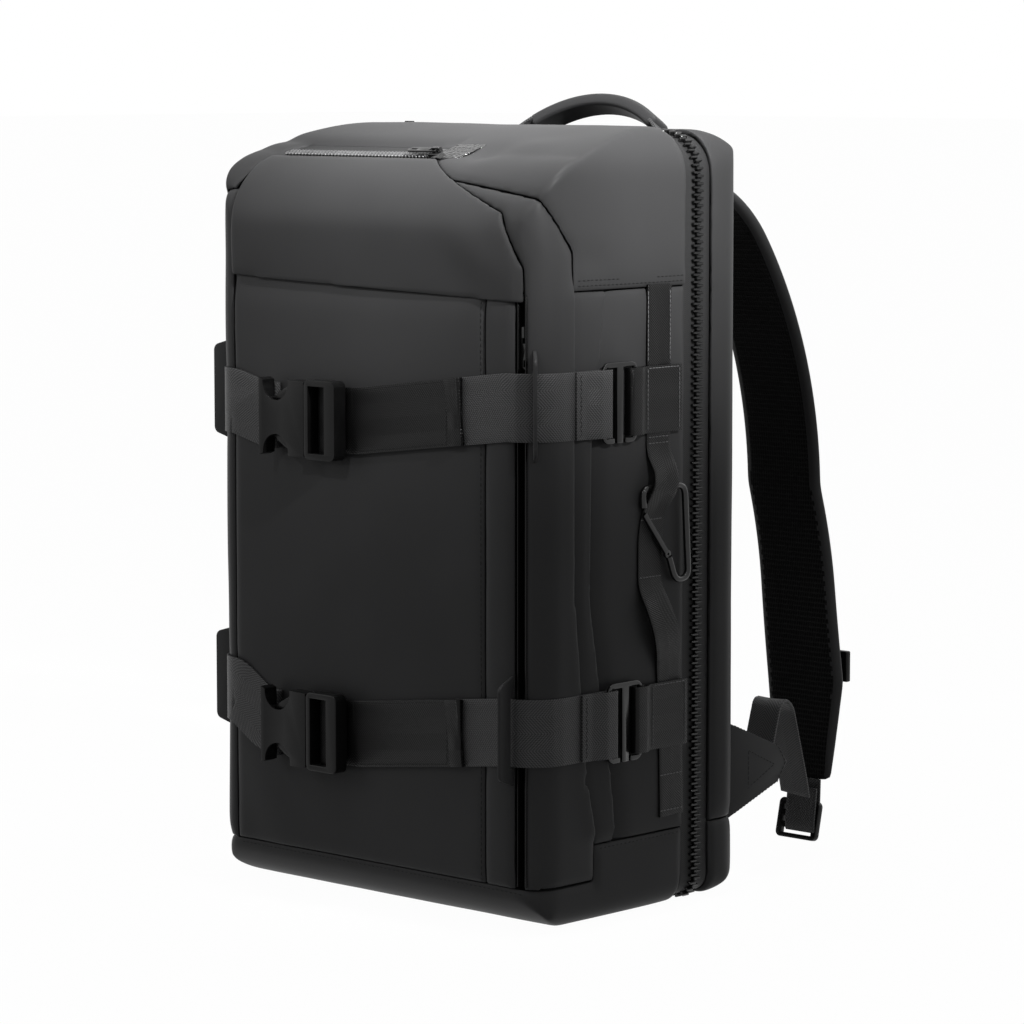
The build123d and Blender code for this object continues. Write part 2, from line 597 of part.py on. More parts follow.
HANDLE_X = 8.0
HANDLE_ROOT = (HANDLE_X, 103.8, 500.8)
HANDLE_HALF = 74.0
HANDLE_RISE = 35.0
HANDLE_LEAN = math.radians(30)
GRIP_R = 5.6
handle_plane = Plane(origin=HANDLE_ROOT, x_dir=(1, 0, 0),
                     z_dir=(0, -math.cos(HANDLE_LEAN), math.sin(HANDLE_LEAN)))
with BuildPart() as handle_grip:
    with BuildLine(handle_plane):
        whole = ThreePointArc((-HANDLE_HALF, 0), (0, HANDLE_RISE), (HANDLE_HALF, 0),
                              mode=Mode.PRIVATE)
        add(whole.trim(0.145, 0.855))
    with BuildSketch(Plane(origin=whole @ 0.145, x_dir=handle_plane.z_dir, z_dir=whole % 0.145)):
        Polygon((-GRIP_R - 2, 0), (-4, -GRIP_R), (4, -GRIP_R), (GRIP_R + 2, 0),
                (4, GRIP_R), (-4, GRIP_R), align=None)
    sweep()
save(handle_grip, "handle_grip")
with BuildPart() as handle_webbing:
    with BuildSketch(handle_plane):
        with BuildLine():
            ThreePointArc((-HANDLE_HALF, 0), (0, HANDLE_RISE), (HANDLE_HALF, 0))
        trace(line_width=2)
        with Locations((0, HANDLE_RISE)):
            Rectangle(HANDLE_HALF * 1.5, HANDLE_RISE * 1.15, mode=Mode.SUBTRACT)
    extrude(amount=11, both=True)
    across = Plane(origin=HANDLE_ROOT, x_dir=handle_plane.z_dir, z_dir=(1, 0, 0))
    with BuildSketch(across):     # folded narrower where it meets the bag, so that it can tip
        Polygon((-5, 1), (5, 1), (11.5, -8), (11.5, -60), (-11.5, -60), (-11.5, -8), align=None)
    extrude(amount=2 * HANDLE_HALF, both=True, mode=Mode.INTERSECT)
    add(handle_grip.part, mode=Mode.SUBTRACT)
save(handle_webbing, "handle_webbing")

LOCK_W = 36.0


def shoulder_strap(sign):
    """One padded shoulder strap: a curved band cut to its outline. sign is 1 on the right."""
    with BuildPart() as pad:
        with BuildSketch(Plane.YZ.offset(10 * sign)):
            with BuildLine():
                yoke = TangentArc((BACK_Y + 0.4, 482), (192, 438), tangent=(1, 0))
                upper = TangentArc(yoke @ 1, (239, 345), tangent=yoke % 1)
                chest = TangentArc(upper @ 1, (247.5, 190), tangent=upper % 1)
                TangentArc(chest @ 1, (226, 48), tangent=chest % 1)
            trace(line_width=PAD_T)
        extrude(amount=sign * 150)
        with BuildSketch(Plane.XZ):
            with BuildLine():
                half = 34.0
                corners = [(STRAP_TOP_X - half, 500), (STRAP_TOP_X + half, 500),
                           (STRAP_TOP_X + half, 250), (STRAP_LOW_X + 28, 125),
                           (STRAP_LOW_X + 22, 40), (STRAP_LOW_X - 22, 40),
                           (STRAP_LOW_X - 30, 120), (STRAP_TOP_X - half, 260)]
                Polyline(*[(sign * across, high) for across, high in corners], close=True)
            make_face()
        extrude(amount=-FAR, mode=Mode.INTERSECT)
    return pad


def ladder_lock(sign):
    """The slotted adjuster at a strap's lower end, on a short loop of webbing."""
    with BuildPart() as lock:
        x = sign * STRAP_LOW_X
        low = Plane(origin=(x, 221.5, 26), x_dir=(1, 0, 0), z_dir=(0, 1, -0.22))
        with BuildSketch(low):
            RectangleRounded(LOCK_W, 28, 4)
            for row in (-7.5, 1, 9):
                with Locations((0, row)):
                    Rectangle(LOCK_W - 9, 3.6, mode=Mode.SUBTRACT)
        extrude(amount=2.2, both=True)
    return lock


for side, sign in (("left", -1), ("right", 1)):
    save(shoulder_strap(sign), f"shoulder_pad_{side}")
    save(ladder_lock(sign), f"ladder_lock_{side}")
    with BuildPart() as clip:
        with BuildSketch(Plane.XY.offset(122)):
            with Locations((sign * (STRAP_LOW_X - 4), 252.5 + 4.0)):
                RectangleRounded(40, 5, 1.5)
        extrude(amount=22)
    save(clip, f"sternum_slider_{side}")


WING_T = 4.0
with BuildPart() as strap_anchors:
    for sign in (-1, 1):
        with BuildSketch(Plane.YZ.offset(sign * (HALF_W - 13))):
            Polygon((88, 122), (88, 40), (156, 66), (166, 79), (156, 92), align=None)
        extrude(amount=sign * WING_T)
        with BuildSketch(Plane.YZ.offset(sign * (HALF_W - 40))):
            with BuildLine():
                FilletPolyline((150, 82), (164, 122), (182, 116), (204, 50), radius=9)
            trace(line_width=2.0)
        extrude(amount=sign * 27)
    add(outer, mode=Mode.SUBTRACT)
save(strap_anchors, "strap_anchors")
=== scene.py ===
"""The travel backpack's finished look: soft panels, zips, webbing, buckles and padded straps."""
import math
from contextlib import contextmanager

import bpy
import numpy as np
from mathutils import Matrix, Vector, noise
from mathutils.bvhtree import BVHTree


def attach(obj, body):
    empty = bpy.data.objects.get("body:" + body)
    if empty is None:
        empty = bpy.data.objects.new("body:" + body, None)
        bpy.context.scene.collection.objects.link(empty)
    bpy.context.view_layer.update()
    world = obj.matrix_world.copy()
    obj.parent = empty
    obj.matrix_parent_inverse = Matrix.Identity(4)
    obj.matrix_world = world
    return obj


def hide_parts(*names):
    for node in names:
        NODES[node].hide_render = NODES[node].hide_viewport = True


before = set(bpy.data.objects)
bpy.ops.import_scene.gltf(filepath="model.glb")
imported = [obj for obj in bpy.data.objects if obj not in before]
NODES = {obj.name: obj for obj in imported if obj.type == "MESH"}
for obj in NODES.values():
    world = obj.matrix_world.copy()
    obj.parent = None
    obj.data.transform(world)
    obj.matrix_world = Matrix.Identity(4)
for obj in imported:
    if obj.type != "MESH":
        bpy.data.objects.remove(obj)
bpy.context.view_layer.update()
MM = 0.001

# Driving sizes of the bag, in millimetres
ZIP_Y, ZIP_EDGE = 55.0, 13.6          # middle of the main zip, and from there to a panel's edge
HINGE_X = -140.0                      # left of this the fabric is the hinge
TOP_Z, HALF_W = 516.0, 150.0
SHOULDER = np.array((120.0, 487.0))   # middle of the rounded top corner, seen from the front
SHOULDER_R, HEM_R = 30.0, 16.0        # top and bottom corners
HOOD_LOW = 417.0
BASE_LOW, BASE_SIDE = 28.0, 52.0
SEAM_X, RECESS_X, GUSSET_X = 105.0, 131.0, 136.8
LIP_Y, GARAGE_Y = -68.5, -39.0        # front and back edges of the top pocket's mouth
GUSSET_Y = -69.0                      # rear edge of the corner gussets
BACK_SEAM_Y = 97.0
FRONT_Y = -105.0
YOKE_LOW = HOOD_LOW - 3.0             # seam between the yokes and the sides
HEM_DROP = 7.5 / 236                  # slope of the hood's lower edge, down to the right
HOOD_LAP = 7.0                        # the hood covers this much of the front
SIDE_SPLIT = 0.3                      # half the gap between the halves at the fabric hinge
PANEL_T = 3.2                         # fabric, foam and lining

# Compression straps: heights of the buckle and of both sides, hook's front edge, patch's end
WEB_W, WEB_T = 44.0, 1.5
LEVELS = {"upper": (324.0, 341.0, 331.0, -46.0, 33.0),
          "lower": (114.5, 131.0, 132.0, -40.0, 40.0)}

ALONG_X, ALONG_Y, ALONG_Z = (1, 0, 0), (0, 1, 0), (0, 0, 1)


# ---- Small helpers ---------------------------------------------------------------------------

def pick(obj):
    for other in bpy.context.selected_objects:
        other.select_set(False)
    obj.select_set(True)
    bpy.context.view_layer.objects.active = obj


@contextmanager
def editing(obj, select="SELECT"):
    """Edit mode on one object, with all of it selected unless told otherwise."""
    pick(obj)
    bpy.ops.object.mode_set(mode="EDIT")
    bpy.ops.mesh.select_all(action=select)
    yield
    bpy.ops.object.mode_set(mode="OBJECT")


def modify(obj, kind, **settings):
    """Add a modifier and apply it at once."""
    pick(obj)
    mod = obj.modifiers.new(kind.title(), kind)
    for key, value in settings.items():
        setattr(mod, key, value)
    bpy.ops.object.modifier_apply(modifier=mod.name)


def thicken(obj, thickness, **settings):
    """Give a sheet a thickness in millimetres."""
    modify(obj, "SOLIDIFY", thickness=thickness * MM, **settings)


def break_edges(obj, width, segments=2, sharp=30):
    """Bevel the edges that turn by more than an angle."""
    modify(obj, "BEVEL", width=width * MM, segments=segments, limit_method="ANGLE",
           angle_limit=math.radians(sharp))


def subdivide(obj):
    modify(obj, "SUBSURF", levels=1, render_levels=1)


def points_of(obj):
    flat = np.empty(len(obj.data.vertices) * 3)
    obj.data.vertices.foreach_get("co", flat)
    return flat.reshape(-1, 3)


def normals_of(obj):
    flat = np.empty(len(obj.data.vertices) * 3)
    obj.data.vertex_normals.foreach_get("vector", flat)
    return flat.reshape(-1, 3)


def centres_of(obj):
    """The middle of each face, in millimetres."""
    flat = np.empty(len(obj.data.polygons) * 3)
    obj.data.polygons.foreach_get("center", flat)
    return flat.reshape(-1, 3) / MM


def lay_uv(obj, spots):
    """Give each point a place on the piece's UV map, in millimetres."""
    corners = np.empty(len(obj.data.loops), int)
    obj.data.loops.foreach_get("vertex_index", corners)
    obj.data.uv_layers[0].data.foreach_set("uv", (spots[corners] * MM).ravel())


def edge_ends(obj):
    flat = np.empty(len(obj.data.edges) * 2, int)
    obj.data.edges.foreach_get("vertices", flat)
    return flat.reshape(-1, 2)


def move_points(obj, points):
    obj.data.vertices.foreach_set("co", points.ravel())
    obj.data.update()


def unit(rows):
    """The same vectors at length one."""
    return rows / np.maximum(np.linalg.norm(rows, axis=1, keepdims=True), 1e-9)


def travelled(path):
    """How far along a path each of its points lies."""
    steps = np.linalg.norm(np.diff(path, axis=0), axis=1)
    return np.concatenate([[0], np.cumsum(steps)])


def new_object(name, mesh):
    obj = bpy.data.objects.new(name, mesh)
    bpy.context.scene.collection.objects.link(obj)
    return obj


def cad_copy(name, *nodes):
    """The named nodes' solids, joined and with their loose triangles merged."""
    parts = [new_object(name, NODES[node].data.copy()) for node in nodes]
    pick(parts[0])
    for part in parts:
        part.select_set(True)
    if len(parts) > 1:
        bpy.ops.object.join()
    with editing(parts[0]):
        bpy.ops.mesh.remove_doubles(threshold=0.02 * MM)
    return parts[0]


def flats_joined(obj):
    """Merge the loose triangles of each flat face."""
    with editing(obj):
        bpy.ops.mesh.dissolve_limited(angle_limit=math.radians(2))
    return obj


def block(name, size, bevel, segments=1):
    """A small bevelled block round the origin, sized in millimetres."""
    bpy.ops.mesh.primitive_cube_add(size=1)
    made = bpy.context.object
    made.name = name
    made.scale = [length * MM for length in size]
    bpy.ops.object.transform_apply(location=False, rotation=False, scale=True)
    with editing(made):
        bpy.ops.mesh.bevel(offset=bevel * MM, segments=segments, affect="EDGES")
    return made


def place(obj, body, finish, nodes=(), smooth=40):
    """Give a finished piece its material, its body and the nodes that it stands for."""
    obj.data.materials.clear()
    obj.data.materials.append(finish)
    pick(obj)
    bpy.ops.object.shade_smooth_by_angle(angle=math.radians(smooth))
    if nodes:
        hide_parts(*nodes)
    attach(obj, body)
    return obj


# ---- Materials -------------------------------------------------------------------------------

def shader(name, colour, roughness, **sockets):
    mat = bpy.data.materials.new(name)
    mat.use_nodes = True
    bsdf = mat.node_tree.nodes["Principled BSDF"]
    bsdf.inputs["Base Color"].default_value = (*colour, 1)
    bsdf.inputs["Roughness"].default_value = roughness
    for key, value in sockets.items():
        bsdf.inputs[key.replace("_", " ")].default_value = value
    return mat, mat.node_tree, bsdf


def node(tree, kind, **settings):
    made = tree.nodes.new(kind)
    for key, value in settings.items():
        if key in made.inputs:
            made.inputs[key].default_value = value
        else:
            setattr(made, key, value)
    return made


def grey(value):
    return (value, value, value * 1.02)


def between_greys(tree, bsdf, share, first, second, start=0.0, end=1.0):
    """Base colour that goes from one grey to another with a share from 0 to 1."""
    ramp = tree.nodes.new("ShaderNodeValToRGB")
    for stop, position, value in zip(ramp.color_ramp.elements, (start, end), (first, second)):
        stop.position = position
        stop.color = (*grey(value), 1)
    tree.links.new(share, ramp.inputs["Fac"])
    tree.links.new(ramp.outputs["Color"], bsdf.inputs["Base Color"])


def mottle(tree, bsdf, coords, scale, dark, light):
    """Base colour that drifts between two greys."""
    drift = node(tree, "ShaderNodeTexNoise", Scale=scale, Detail=3.0)
    tree.links.new(coords, drift.inputs["Vector"])
    between_greys(tree, bsdf, drift.outputs["Fac"], dark, light, 0.3, 0.7)
    return drift


def raised(tree, bsdf, height, strength, distance, **settings):
    """Surface relief from a height, at most so many metres deep."""
    bump = node(tree, "ShaderNodeBump", Strength=strength, Distance=distance, **settings)
    tree.links.new(height, bump.inputs["Height"])
    tree.links.new(bump.outputs["Normal"], bsdf.inputs["Normal"])


def grained(tree, bsdf, coords, scale, detail, strength, distance):
    """Fine even grain over a surface."""
    grain = node(tree, "ShaderNodeTexNoise", Scale=scale, Detail=detail)
    tree.links.new(coords, grain.inputs["Vector"])
    raised(tree, bsdf, grain.outputs["Fac"], strength, distance)


def coated_fabric():
    """Rubbery coated polyester: matt, with a very fine grain and faint handling marks."""
    mat, tree, bsdf = shader("coated_fabric", grey(0.033), 0.45, Specular_IOR_Level=0.06)
    coords = node(tree, "ShaderNodeTexCoord").outputs["Object"]
    drift = mottle(tree, bsdf, coords, 9.0, 0.031, 0.036)
    grained(tree, bsdf, coords, 2600.0, 2.0, 0.10, 0.00012)
    rough = node(tree, "ShaderNodeMapRange")
    rough.inputs["To Min"].default_value, rough.inputs["To Max"].default_value = 0.40, 0.50
    tree.links.new(drift.outputs["Fac"], rough.inputs["Value"])
    tree.links.new(rough.outputs["Result"], bsdf.inputs["Roughness"])
    return mat


def maths(tree, operation, first, second=None, third=None):
    step = node(tree, "ShaderNodeMath", operation=operation)
    for socket, value in zip(step.inputs, (first, second, third)):
        if value is None:
            continue
        if isinstance(value, (int, float)):
            socket.default_value = value
        else:
            tree.links.new(value, socket)
    return step.outputs[0]


def woven(name, light, dark, roughness, rib, bands, depth=0.00022, spec=0.14):
    """Herringbone webbing. The piece's UV map runs along and across it, in metres.

    rib is the length of one slanting rib, and bands the width of one row of the herringbone.
    """
    mat, tree, bsdf = shader(name, grey(light), roughness, Specular_IOR_Level=spec)
    uv = node(tree, "ShaderNodeTexCoord").outputs["UV"]
    split = node(tree, "ShaderNodeSeparateXYZ")
    tree.links.new(uv, split.inputs["Vector"])
    along, across = split.outputs["X"], split.outputs["Y"]
    chevron = maths(tree, "PINGPONG", across, bands)
    slant = maths(tree, "ADD", along, maths(tree, "MULTIPLY", chevron, 0.9))
    wave = maths(tree, "SINE", maths(tree, "MULTIPLY", slant, 2 * math.pi / rib))
    yarn = maths(tree, "SINE", maths(tree, "MULTIPLY", across, 2 * math.pi / (rib * 0.62)))
    weave = maths(tree, "MULTIPLY_ADD", wave, 0.35, maths(tree, "MULTIPLY", yarn, 0.15))
    height = maths(tree, "ADD", weave, 0.5)
    between_greys(tree, bsdf, height, dark, light)
    raised(tree, bsdf, height, 0.9, depth)
    return mat


def moulded(name, value, roughness, grain=0.05, coat=0.0, spec=0.15):
    """Moulded or enamelled finish with a faint surface texture."""
    mat, tree, bsdf = shader(name, grey(value), roughness, Coat_Weight=coat, Coat_Roughness=0.12,
                             Specular_IOR_Level=spec)
    coords = node(tree, "ShaderNodeTexCoord").outputs["Object"]
    mottle(tree, bsdf, coords, 60.0, value * 0.8, value * 1.2)
    grained(tree, bsdf, coords, 3200.0, 1.0, grain, 0.00008)
    return mat


def spacer_mesh():
    """Air mesh: a knitted face with staggered six-sided holes, laid out across X and Z, with painted
    shade in the holes.
    """
    mat, tree, bsdf = shader("spacer_mesh", grey(0.02), 0.8, Specular_IOR_Level=0.06)
    coords = node(tree, "ShaderNodeTexCoord").outputs["Object"]
    split = node(tree, "ShaderNodeSeparateXYZ")
    tree.links.new(coords, split.inputs["Vector"])
    across = maths(tree, "MULTIPLY", split.outputs["X"], 2 * math.pi / 0.0042)
    up = maths(tree, "MULTIPLY", split.outputs["Z"], 2 * math.pi / 0.0068)
    holes = maths(tree, "MULTIPLY", maths(tree, "COSINE", across), maths(tree, "COSINE", up))
    open_mesh = node(tree, "ShaderNodeMapRange")
    open_mesh.inputs["From Min"].default_value = 0.05
    open_mesh.inputs["From Max"].default_value = 0.55
    tree.links.new(maths(tree, "ABSOLUTE", holes), open_mesh.inputs["Value"])
    # The holes are painted darker than the knit face: painted shade down inside them.
    between_greys(tree, bsdf, open_mesh.outputs["Result"], 0.012, 0.002)
    raised(tree, bsdf, open_mesh.outputs["Result"], 1.0, 0.0009, invert=True)
    return mat


def patch_film():
    """Stiff glossy film with a crackled emboss."""
    mat, tree, bsdf = shader("patch_film", grey(0.006), 0.16, Specular_IOR_Level=0.6)
    coords = node(tree, "ShaderNodeTexCoord").outputs["Object"]
    crackle = node(tree, "ShaderNodeTexVoronoi", Scale=330.0)
    tree.links.new(coords, crackle.inputs["Vector"])
    raised(tree, bsdf, crackle.outputs["Distance"], 1.0, 0.0012)
    return mat


FABRIC = coated_fabric()
WEBBING = woven("webbing", 0.075, 0.012, 0.42, 0.0020, 0.011)
BLACK_WEBBING = woven("black_webbing", 0.0065, 0.0015, 0.30, 0.0018, 0.011, spec=0.12)
TAPE = woven("zip_tape", 0.034, 0.006, 0.55, 0.0013, 0.0035, 0.00016)
TEETH = moulded("zip_teeth", 0.006, 0.26, 0.03, spec=0.3)
SMALL_TEETH = moulded("pocket_zip_teeth", 0.070, 0.34, 0.03, spec=0.4)
METAL = moulded("black_metal", 0.006, 0.20, 0.02, 0.1, 0.3)
NYLON = moulded("moulded_nylon", 0.005, 0.32, 0.22, spec=0.13)
MESH = spacer_mesh()
THREAD = moulded("stitching", 0.006, 0.55, 0.1)
LIGHT_THREAD = moulded("webbing_stitching", 0.10, 0.5, 0.1)
SHEET = moulded("stiff_sheet", 0.02, 0.5, 0.3)
LINING = woven("lining", 0.010, 0.004, 0.6, 0.0012, 0.004, spec=0.05)


# ---- The bag's form, cut into sewn panels ------------------------------------------------------

FRONT_NODES = ("hood", "front_panel", "zip_placket", "base_panel_front", "corner_gusset_left",
               "corner_gusset_right", "pleat_left", "pleat_right", "side_panel_left",
               "side_panel_right", "yoke_left", "yoke_right")
BACK_NODES = ("back_gusset", "back_panel", "base_panel_back")


def bag_form():
    """The whole bag as one smooth closed shell of fine quads, before it is cut along its seams."""
    target = cad_copy("form_target", *FRONT_NODES, *BACK_NODES)
    low, high = points_of(target).min(0), points_of(target).max(0)
    size, middle = high - low + 0.012, (high + low) / 2
    bpy.ops.mesh.primitive_cube_add(size=1, location=middle)
    form = bpy.context.object
    form.name = "form"
    form.scale = size
    bpy.ops.object.transform_apply(location=True, rotation=False, scale=True)
    with editing(form):
        bpy.ops.mesh.subdivide(number_cuts=79)
    modify(form, "SHRINKWRAP", target=target, wrap_method="NEAREST_SURFACEPOINT")
    for _ in range(4):                                # evens out faces crowded at the corners
        modify(form, "SMOOTH", factor=0.5, iterations=12)
        modify(form, "SHRINKWRAP", target=target, wrap_method="NEAREST_SURFACEPOINT")
    bpy.data.objects.remove(target)
    fill_zip_gap(form)
    modify(form, "SMOOTH", factor=0.5, iterations=5)
    return form


def fill_zip_gap(form):
    """Where the zip gap left a trench, carry the fabric's line straight across it."""
    p = points_of(form) / MM
    near = np.abs(p[:, 1] - ZIP_Y) < 14.5
    top = near & (p[:, 2] > 490) & (np.abs(p[:, 0]) < 125)
    p[top, 2] = TOP_Z
    right = near & (p[:, 0] > 140) & (p[:, 2] > 20) & (p[:, 2] < 487)
    p[right, 0] = HALF_W
    base = near & (p[:, 2] < 6) & (np.abs(p[:, 0]) < 134)
    p[base, 2] = 0.0
    corner = near & (p[:, 0] >= SHOULDER[0] - 2) & (p[:, 2] >= SHOULDER[1] - 2)
    p[np.ix_(corner, (0, 2))] = SHOULDER + unit(p[corner][:, (0, 2)] - SHOULDER) * SHOULDER_R
    move_points(form, p * MM)


# Slanting seams, each a plane's direction and its distance from the origin along it
FOLD_RIGHT = (Vector((0.3226, 0, 0.9465)), 477.8)       # the hood's outline at the top corners
FOLD_LEFT = (Vector((-0.894, 0, 0.447)), 335.2)
FOLD_CORNER = (Vector((0.875, 0, 0.484)), 327.6)
YOKE_RIGHT = (Vector((0.156, 0.741, 0.611)), 240.7)     # where the yoke meets the corner gusset
YOKE_LEFT = (Vector((-0.156, 0.741, 0.611)), 240.7)


def gusset_edge(z):
    """The corner gusset's rear edge on the side, which folds over the pleat."""
    return np.interp(z, (BASE_SIDE, 96, 216, 430), (-46.5, -57, GUSSET_Y, GUSSET_Y))


def pleat_edge(z):
    """The pleat's rear edge, which folds over the side panel."""
    heights = (BASE_SIDE, 80, 147, 214, 312, HOOD_LOW)
    return np.interp(z, heights, (-29, -31.5, -43.5, -55, -53, -40))


def axis_plane(axis, at):
    normal = Vector((0, 0, 0))
    normal["xyz".index(axis)] = 1.0
    return normal, float(at)


def choose_faces(obj, wanted):
    """Enter edit mode with only those faces selected whose centres pass a test."""
    with editing(obj, "DESELECT"):
        pass                                          # no vertex or edge stays selected
    obj.data.polygons.foreach_set("select", wanted(*centres_of(obj).T))
    bpy.ops.object.mode_set(mode="EDIT")


def score(obj, plane, where=lambda x, y, z: np.full(len(x), True)):
    """Cut new edges into a mesh along a plane, over the faces that pass a test."""
    normal, at = plane
    choose_faces(obj, where)
    bpy.ops.mesh.bisect(plane_co=normal * (at * MM / normal.length_squared), plane_no=normal)
    bpy.ops.object.mode_set(mode="OBJECT")


def score_side(obj, edge, side):
    """Cut a side seam whose depth changes with height, a short straight run at a time."""
    stops = [BASE_SIDE, 80, 96, 130, 165, 190, 214, 240, 275, 312, 345, 380, HOOD_LOW]
    for low, high in zip(stops, stops[1:]):
        start = Vector((0, float(edge(low)), low))
        run = Vector((0, float(edge(high)), high)) - start
        normal = Vector((0, run.z, -run.y)).normalized()
        score(obj, (normal, normal.dot(start)),
              lambda x, y, z: (x * side > 140) & (z > low) & (z <= high) & (y > -75) & (y < -20))


def cut_panel(form, name, keep):
    """The faces of the scored form whose centres pass the test, as a panel of its own."""
    panel = new_object(name, form.data.copy())
    choose_faces(panel, lambda x, y, z: ~keep(x, y, z))
    bpy.ops.mesh.select_mode(type="FACE")
    bpy.ops.mesh.delete(type="FACE")
    bpy.ops.mesh.select_all(action="SELECT")
    bpy.ops.mesh.remove_doubles(threshold=0.0007)
    bpy.ops.object.mode_set(mode="OBJECT")
    return panel


def from_border(obj):
    """Each vertex's distance from the panel's nearest cut edge, in millimetres."""
    mesh = obj.data
    uses = np.zeros(len(mesh.edges), int)
    loops = np.empty(len(mesh.loops), int)
    mesh.loops.foreach_get("edge_index", loops)
    np.add.at(uses, loops, 1)
    rim = edge_ends(obj)[uses == 1]
    p = points_of(obj) / MM
    a, b = p[rim[:, 0]], p[rim[:, 1]]
    run = b - a
    length = np.maximum((run ** 2).sum(1), 1e-9)
    nearest = np.full(len(p), 1e9)
    for start in range(0, len(p), 2000):
        part = p[start:start + 2000]
        along = np.clip(((part[:, None] - a) * run).sum(2) / length, 0, 1)
        gap = part[:, None] - (a + along[:, :, None] * run)
        nearest[start:start + 2000] = np.sqrt((gap ** 2).sum(2).min(1))
    return nearest


def drift(points, size, seed):
    """Gentle unevenness of the given wavelength, from -1 to 1."""
    shift = Vector((seed * 7.3, seed * 3.1, seed * 5.7))
    return np.array([noise.noise(Vector(p) / (size * MM) + shift) for p in points]) * 1.6


def band(value, middle, half, soft):
    """1 inside a band, falling smoothly to 0 over the soft width on both sides."""
    return 1 / (1 + np.exp((np.abs(value - middle) - half) / soft))


def pressed(p):
    """How far the compression straps press the bag in, in millimetres."""
    x, y, z = (p / MM).T
    squeeze = np.zeros(len(p))
    for at_buckle, at_right, at_left, *_ in LEVELS.values():
        line = np.interp(x, (-126, -98, -10, 126), (at_left, at_buckle, at_buckle, at_right))
        held = (y < -20) * np.clip(1 - np.maximum(y + 50, 0) / 30, 0, 1)
        squeeze += band(z, line, 20, 5) * held
    return squeeze


def eased(obj, values, rounds):
    """Values averaged with each vertex's neighbours, again and again."""
    ends = edge_ends(obj)
    a, b = ends.T
    count = 1.0 + np.bincount(ends.ravel(), minlength=len(values))[:, None]
    for _ in range(rounds):
        total = values.copy()
        np.add.at(total, a, values[b])
        np.add.at(total, b, values[a])
        values = total / count
    return values


def shape_panel(panel, crown=1.0, reach=18.0, dip=1.6, roll=3.0, seed=1, uneven=0.8, proud=0.0,
                press=0.8, extra=None):
    """Crown a panel between its seams, sink its edges, and give it the fabric's thickness.

    All in millimetres. reach and roll say how far from a seam the crown and the sunk edge go, and
    press is the share of the compression straps' squeeze that the panel shows.
    """
    edge = from_border(panel)
    p, n = points_of(panel), unit(eased(panel, normals_of(panel), 3))
    lift = crown * (1 - np.exp(-edge / reach)) - dip * np.exp(-(edge / roll) ** 2) + proud
    inner = 1 - np.exp(-edge / 14)
    lift += inner * uneven * (drift(p, 95, seed) + 0.35 * drift(p, 38, seed + 4))
    lift -= press * pressed(p)
    if extra:
        lift += extra(*(p / MM).T, edge)
    moved = p + n * (lift * MM)[:, None]
    moved[:, 2] = np.maximum(moved[:, 2], 0.0001)
    move_points(panel, moved)
    thicken(panel, PANEL_T, offset=-1, use_even_offset=False, use_quality_normals=True)
    subdivide(panel)
    return panel


def sewn_panel(name, keep, nodes, body="front_half", fill=None, **shape):
    """One fabric panel of the bag, cut from the form, shaped and placed."""
    panel = shape_panel(cut_panel(form, name, keep), **shape)
    place(panel, body, FABRIC, nodes)
    return panel


form = bag_form()
for plane in (axis_plane("x", HINGE_X), axis_plane("x", -RECESS_X), axis_plane("x", SEAM_X),
              axis_plane("x", RECESS_X), axis_plane("x", GUSSET_X), axis_plane("z", BASE_LOW),
              axis_plane("z", BASE_SIDE), axis_plane("z", YOKE_LOW),
              axis_plane("y", ZIP_Y - ZIP_EDGE), axis_plane("y", ZIP_Y + ZIP_EDGE),
              axis_plane("y", ZIP_Y - SIDE_SPLIT), axis_plane("y", ZIP_Y + SIDE_SPLIT),
              axis_plane("y", BACK_SEAM_Y)):
    score(form, plane)
score(form, axis_plane("y", LIP_Y), lambda x, y, z: z > 440)
score(form, axis_plane("y", GARAGE_Y), lambda x, y, z: z > 440)
score(form, axis_plane("y", GUSSET_Y), lambda x, y, z: (z > 410) & (np.abs(x) > 130))
hood_edge = Vector((HEM_DROP, 0, 1.0))
score(form, (hood_edge, hood_edge.dot(Vector((-RECESS_X, 0, HOOD_LOW - 0.5)))),
      lambda x, y, z: (y < -60) & (z > 395) & (z < 425))
for fold in (FOLD_RIGHT, FOLD_LEFT, FOLD_CORNER):
    score(form, fold, lambda x, y, z: (z > 425) & (y < -40) & (x * fold[0].x > 0))
for seam in (YOKE_RIGHT, YOKE_LEFT):
    score(form, seam, lambda x, y, z: (z > 430) & (y < -60) & (x * seam[0].x > 0))
for side in (-1, 1):
    score_side(form, gusset_edge, side)
    score_side(form, pleat_edge, side)


def side_of(plane, x, y, z):
    """How far beyond a plane a place is."""
    normal, at = plane
    return normal.x * x + normal.y * y + normal.z * z - at


def front_half(x, y, z):
    """Everything that swings with the front half."""
    return np.where(x < HINGE_X, y < ZIP_Y - SIDE_SPLIT, y < ZIP_Y - ZIP_EDGE)


def back_half(x, y, z):
    """Everything that stays with the wearer's back."""
    return np.where(x < HINGE_X, y > ZIP_Y + SIDE_SPLIT, y > ZIP_Y + ZIP_EDGE)


def hood_low(x):
    """Height of the hood's lower edge."""
    return HOOD_LOW - 0.5 - (x + RECESS_X) * HEM_DROP


def over_gusset(x, y, z):
    """Above the slanting seam at either top corner."""
    slant = np.where(x > 0, side_of(YOKE_RIGHT, x, y, z), side_of(YOKE_LEFT, x, y, z))
    return slant > 0


def within_folds(x, y, z):
    """Inside the hood's outline: its slanting folds and the rounded corner on the right."""
    return ((side_of(FOLD_RIGHT, x, y, z) < 0) & (side_of(FOLD_LEFT, x, y, z) < 0)
            & (side_of(FOLD_CORNER, x, y, z) < 0))


def in_hood(x, y, z):
    inside = within_folds(x, y, z)
    return (y < LIP_Y) & (z > hood_low(x)) & (x < GUSSET_X) & (x > -RECESS_X) & inside


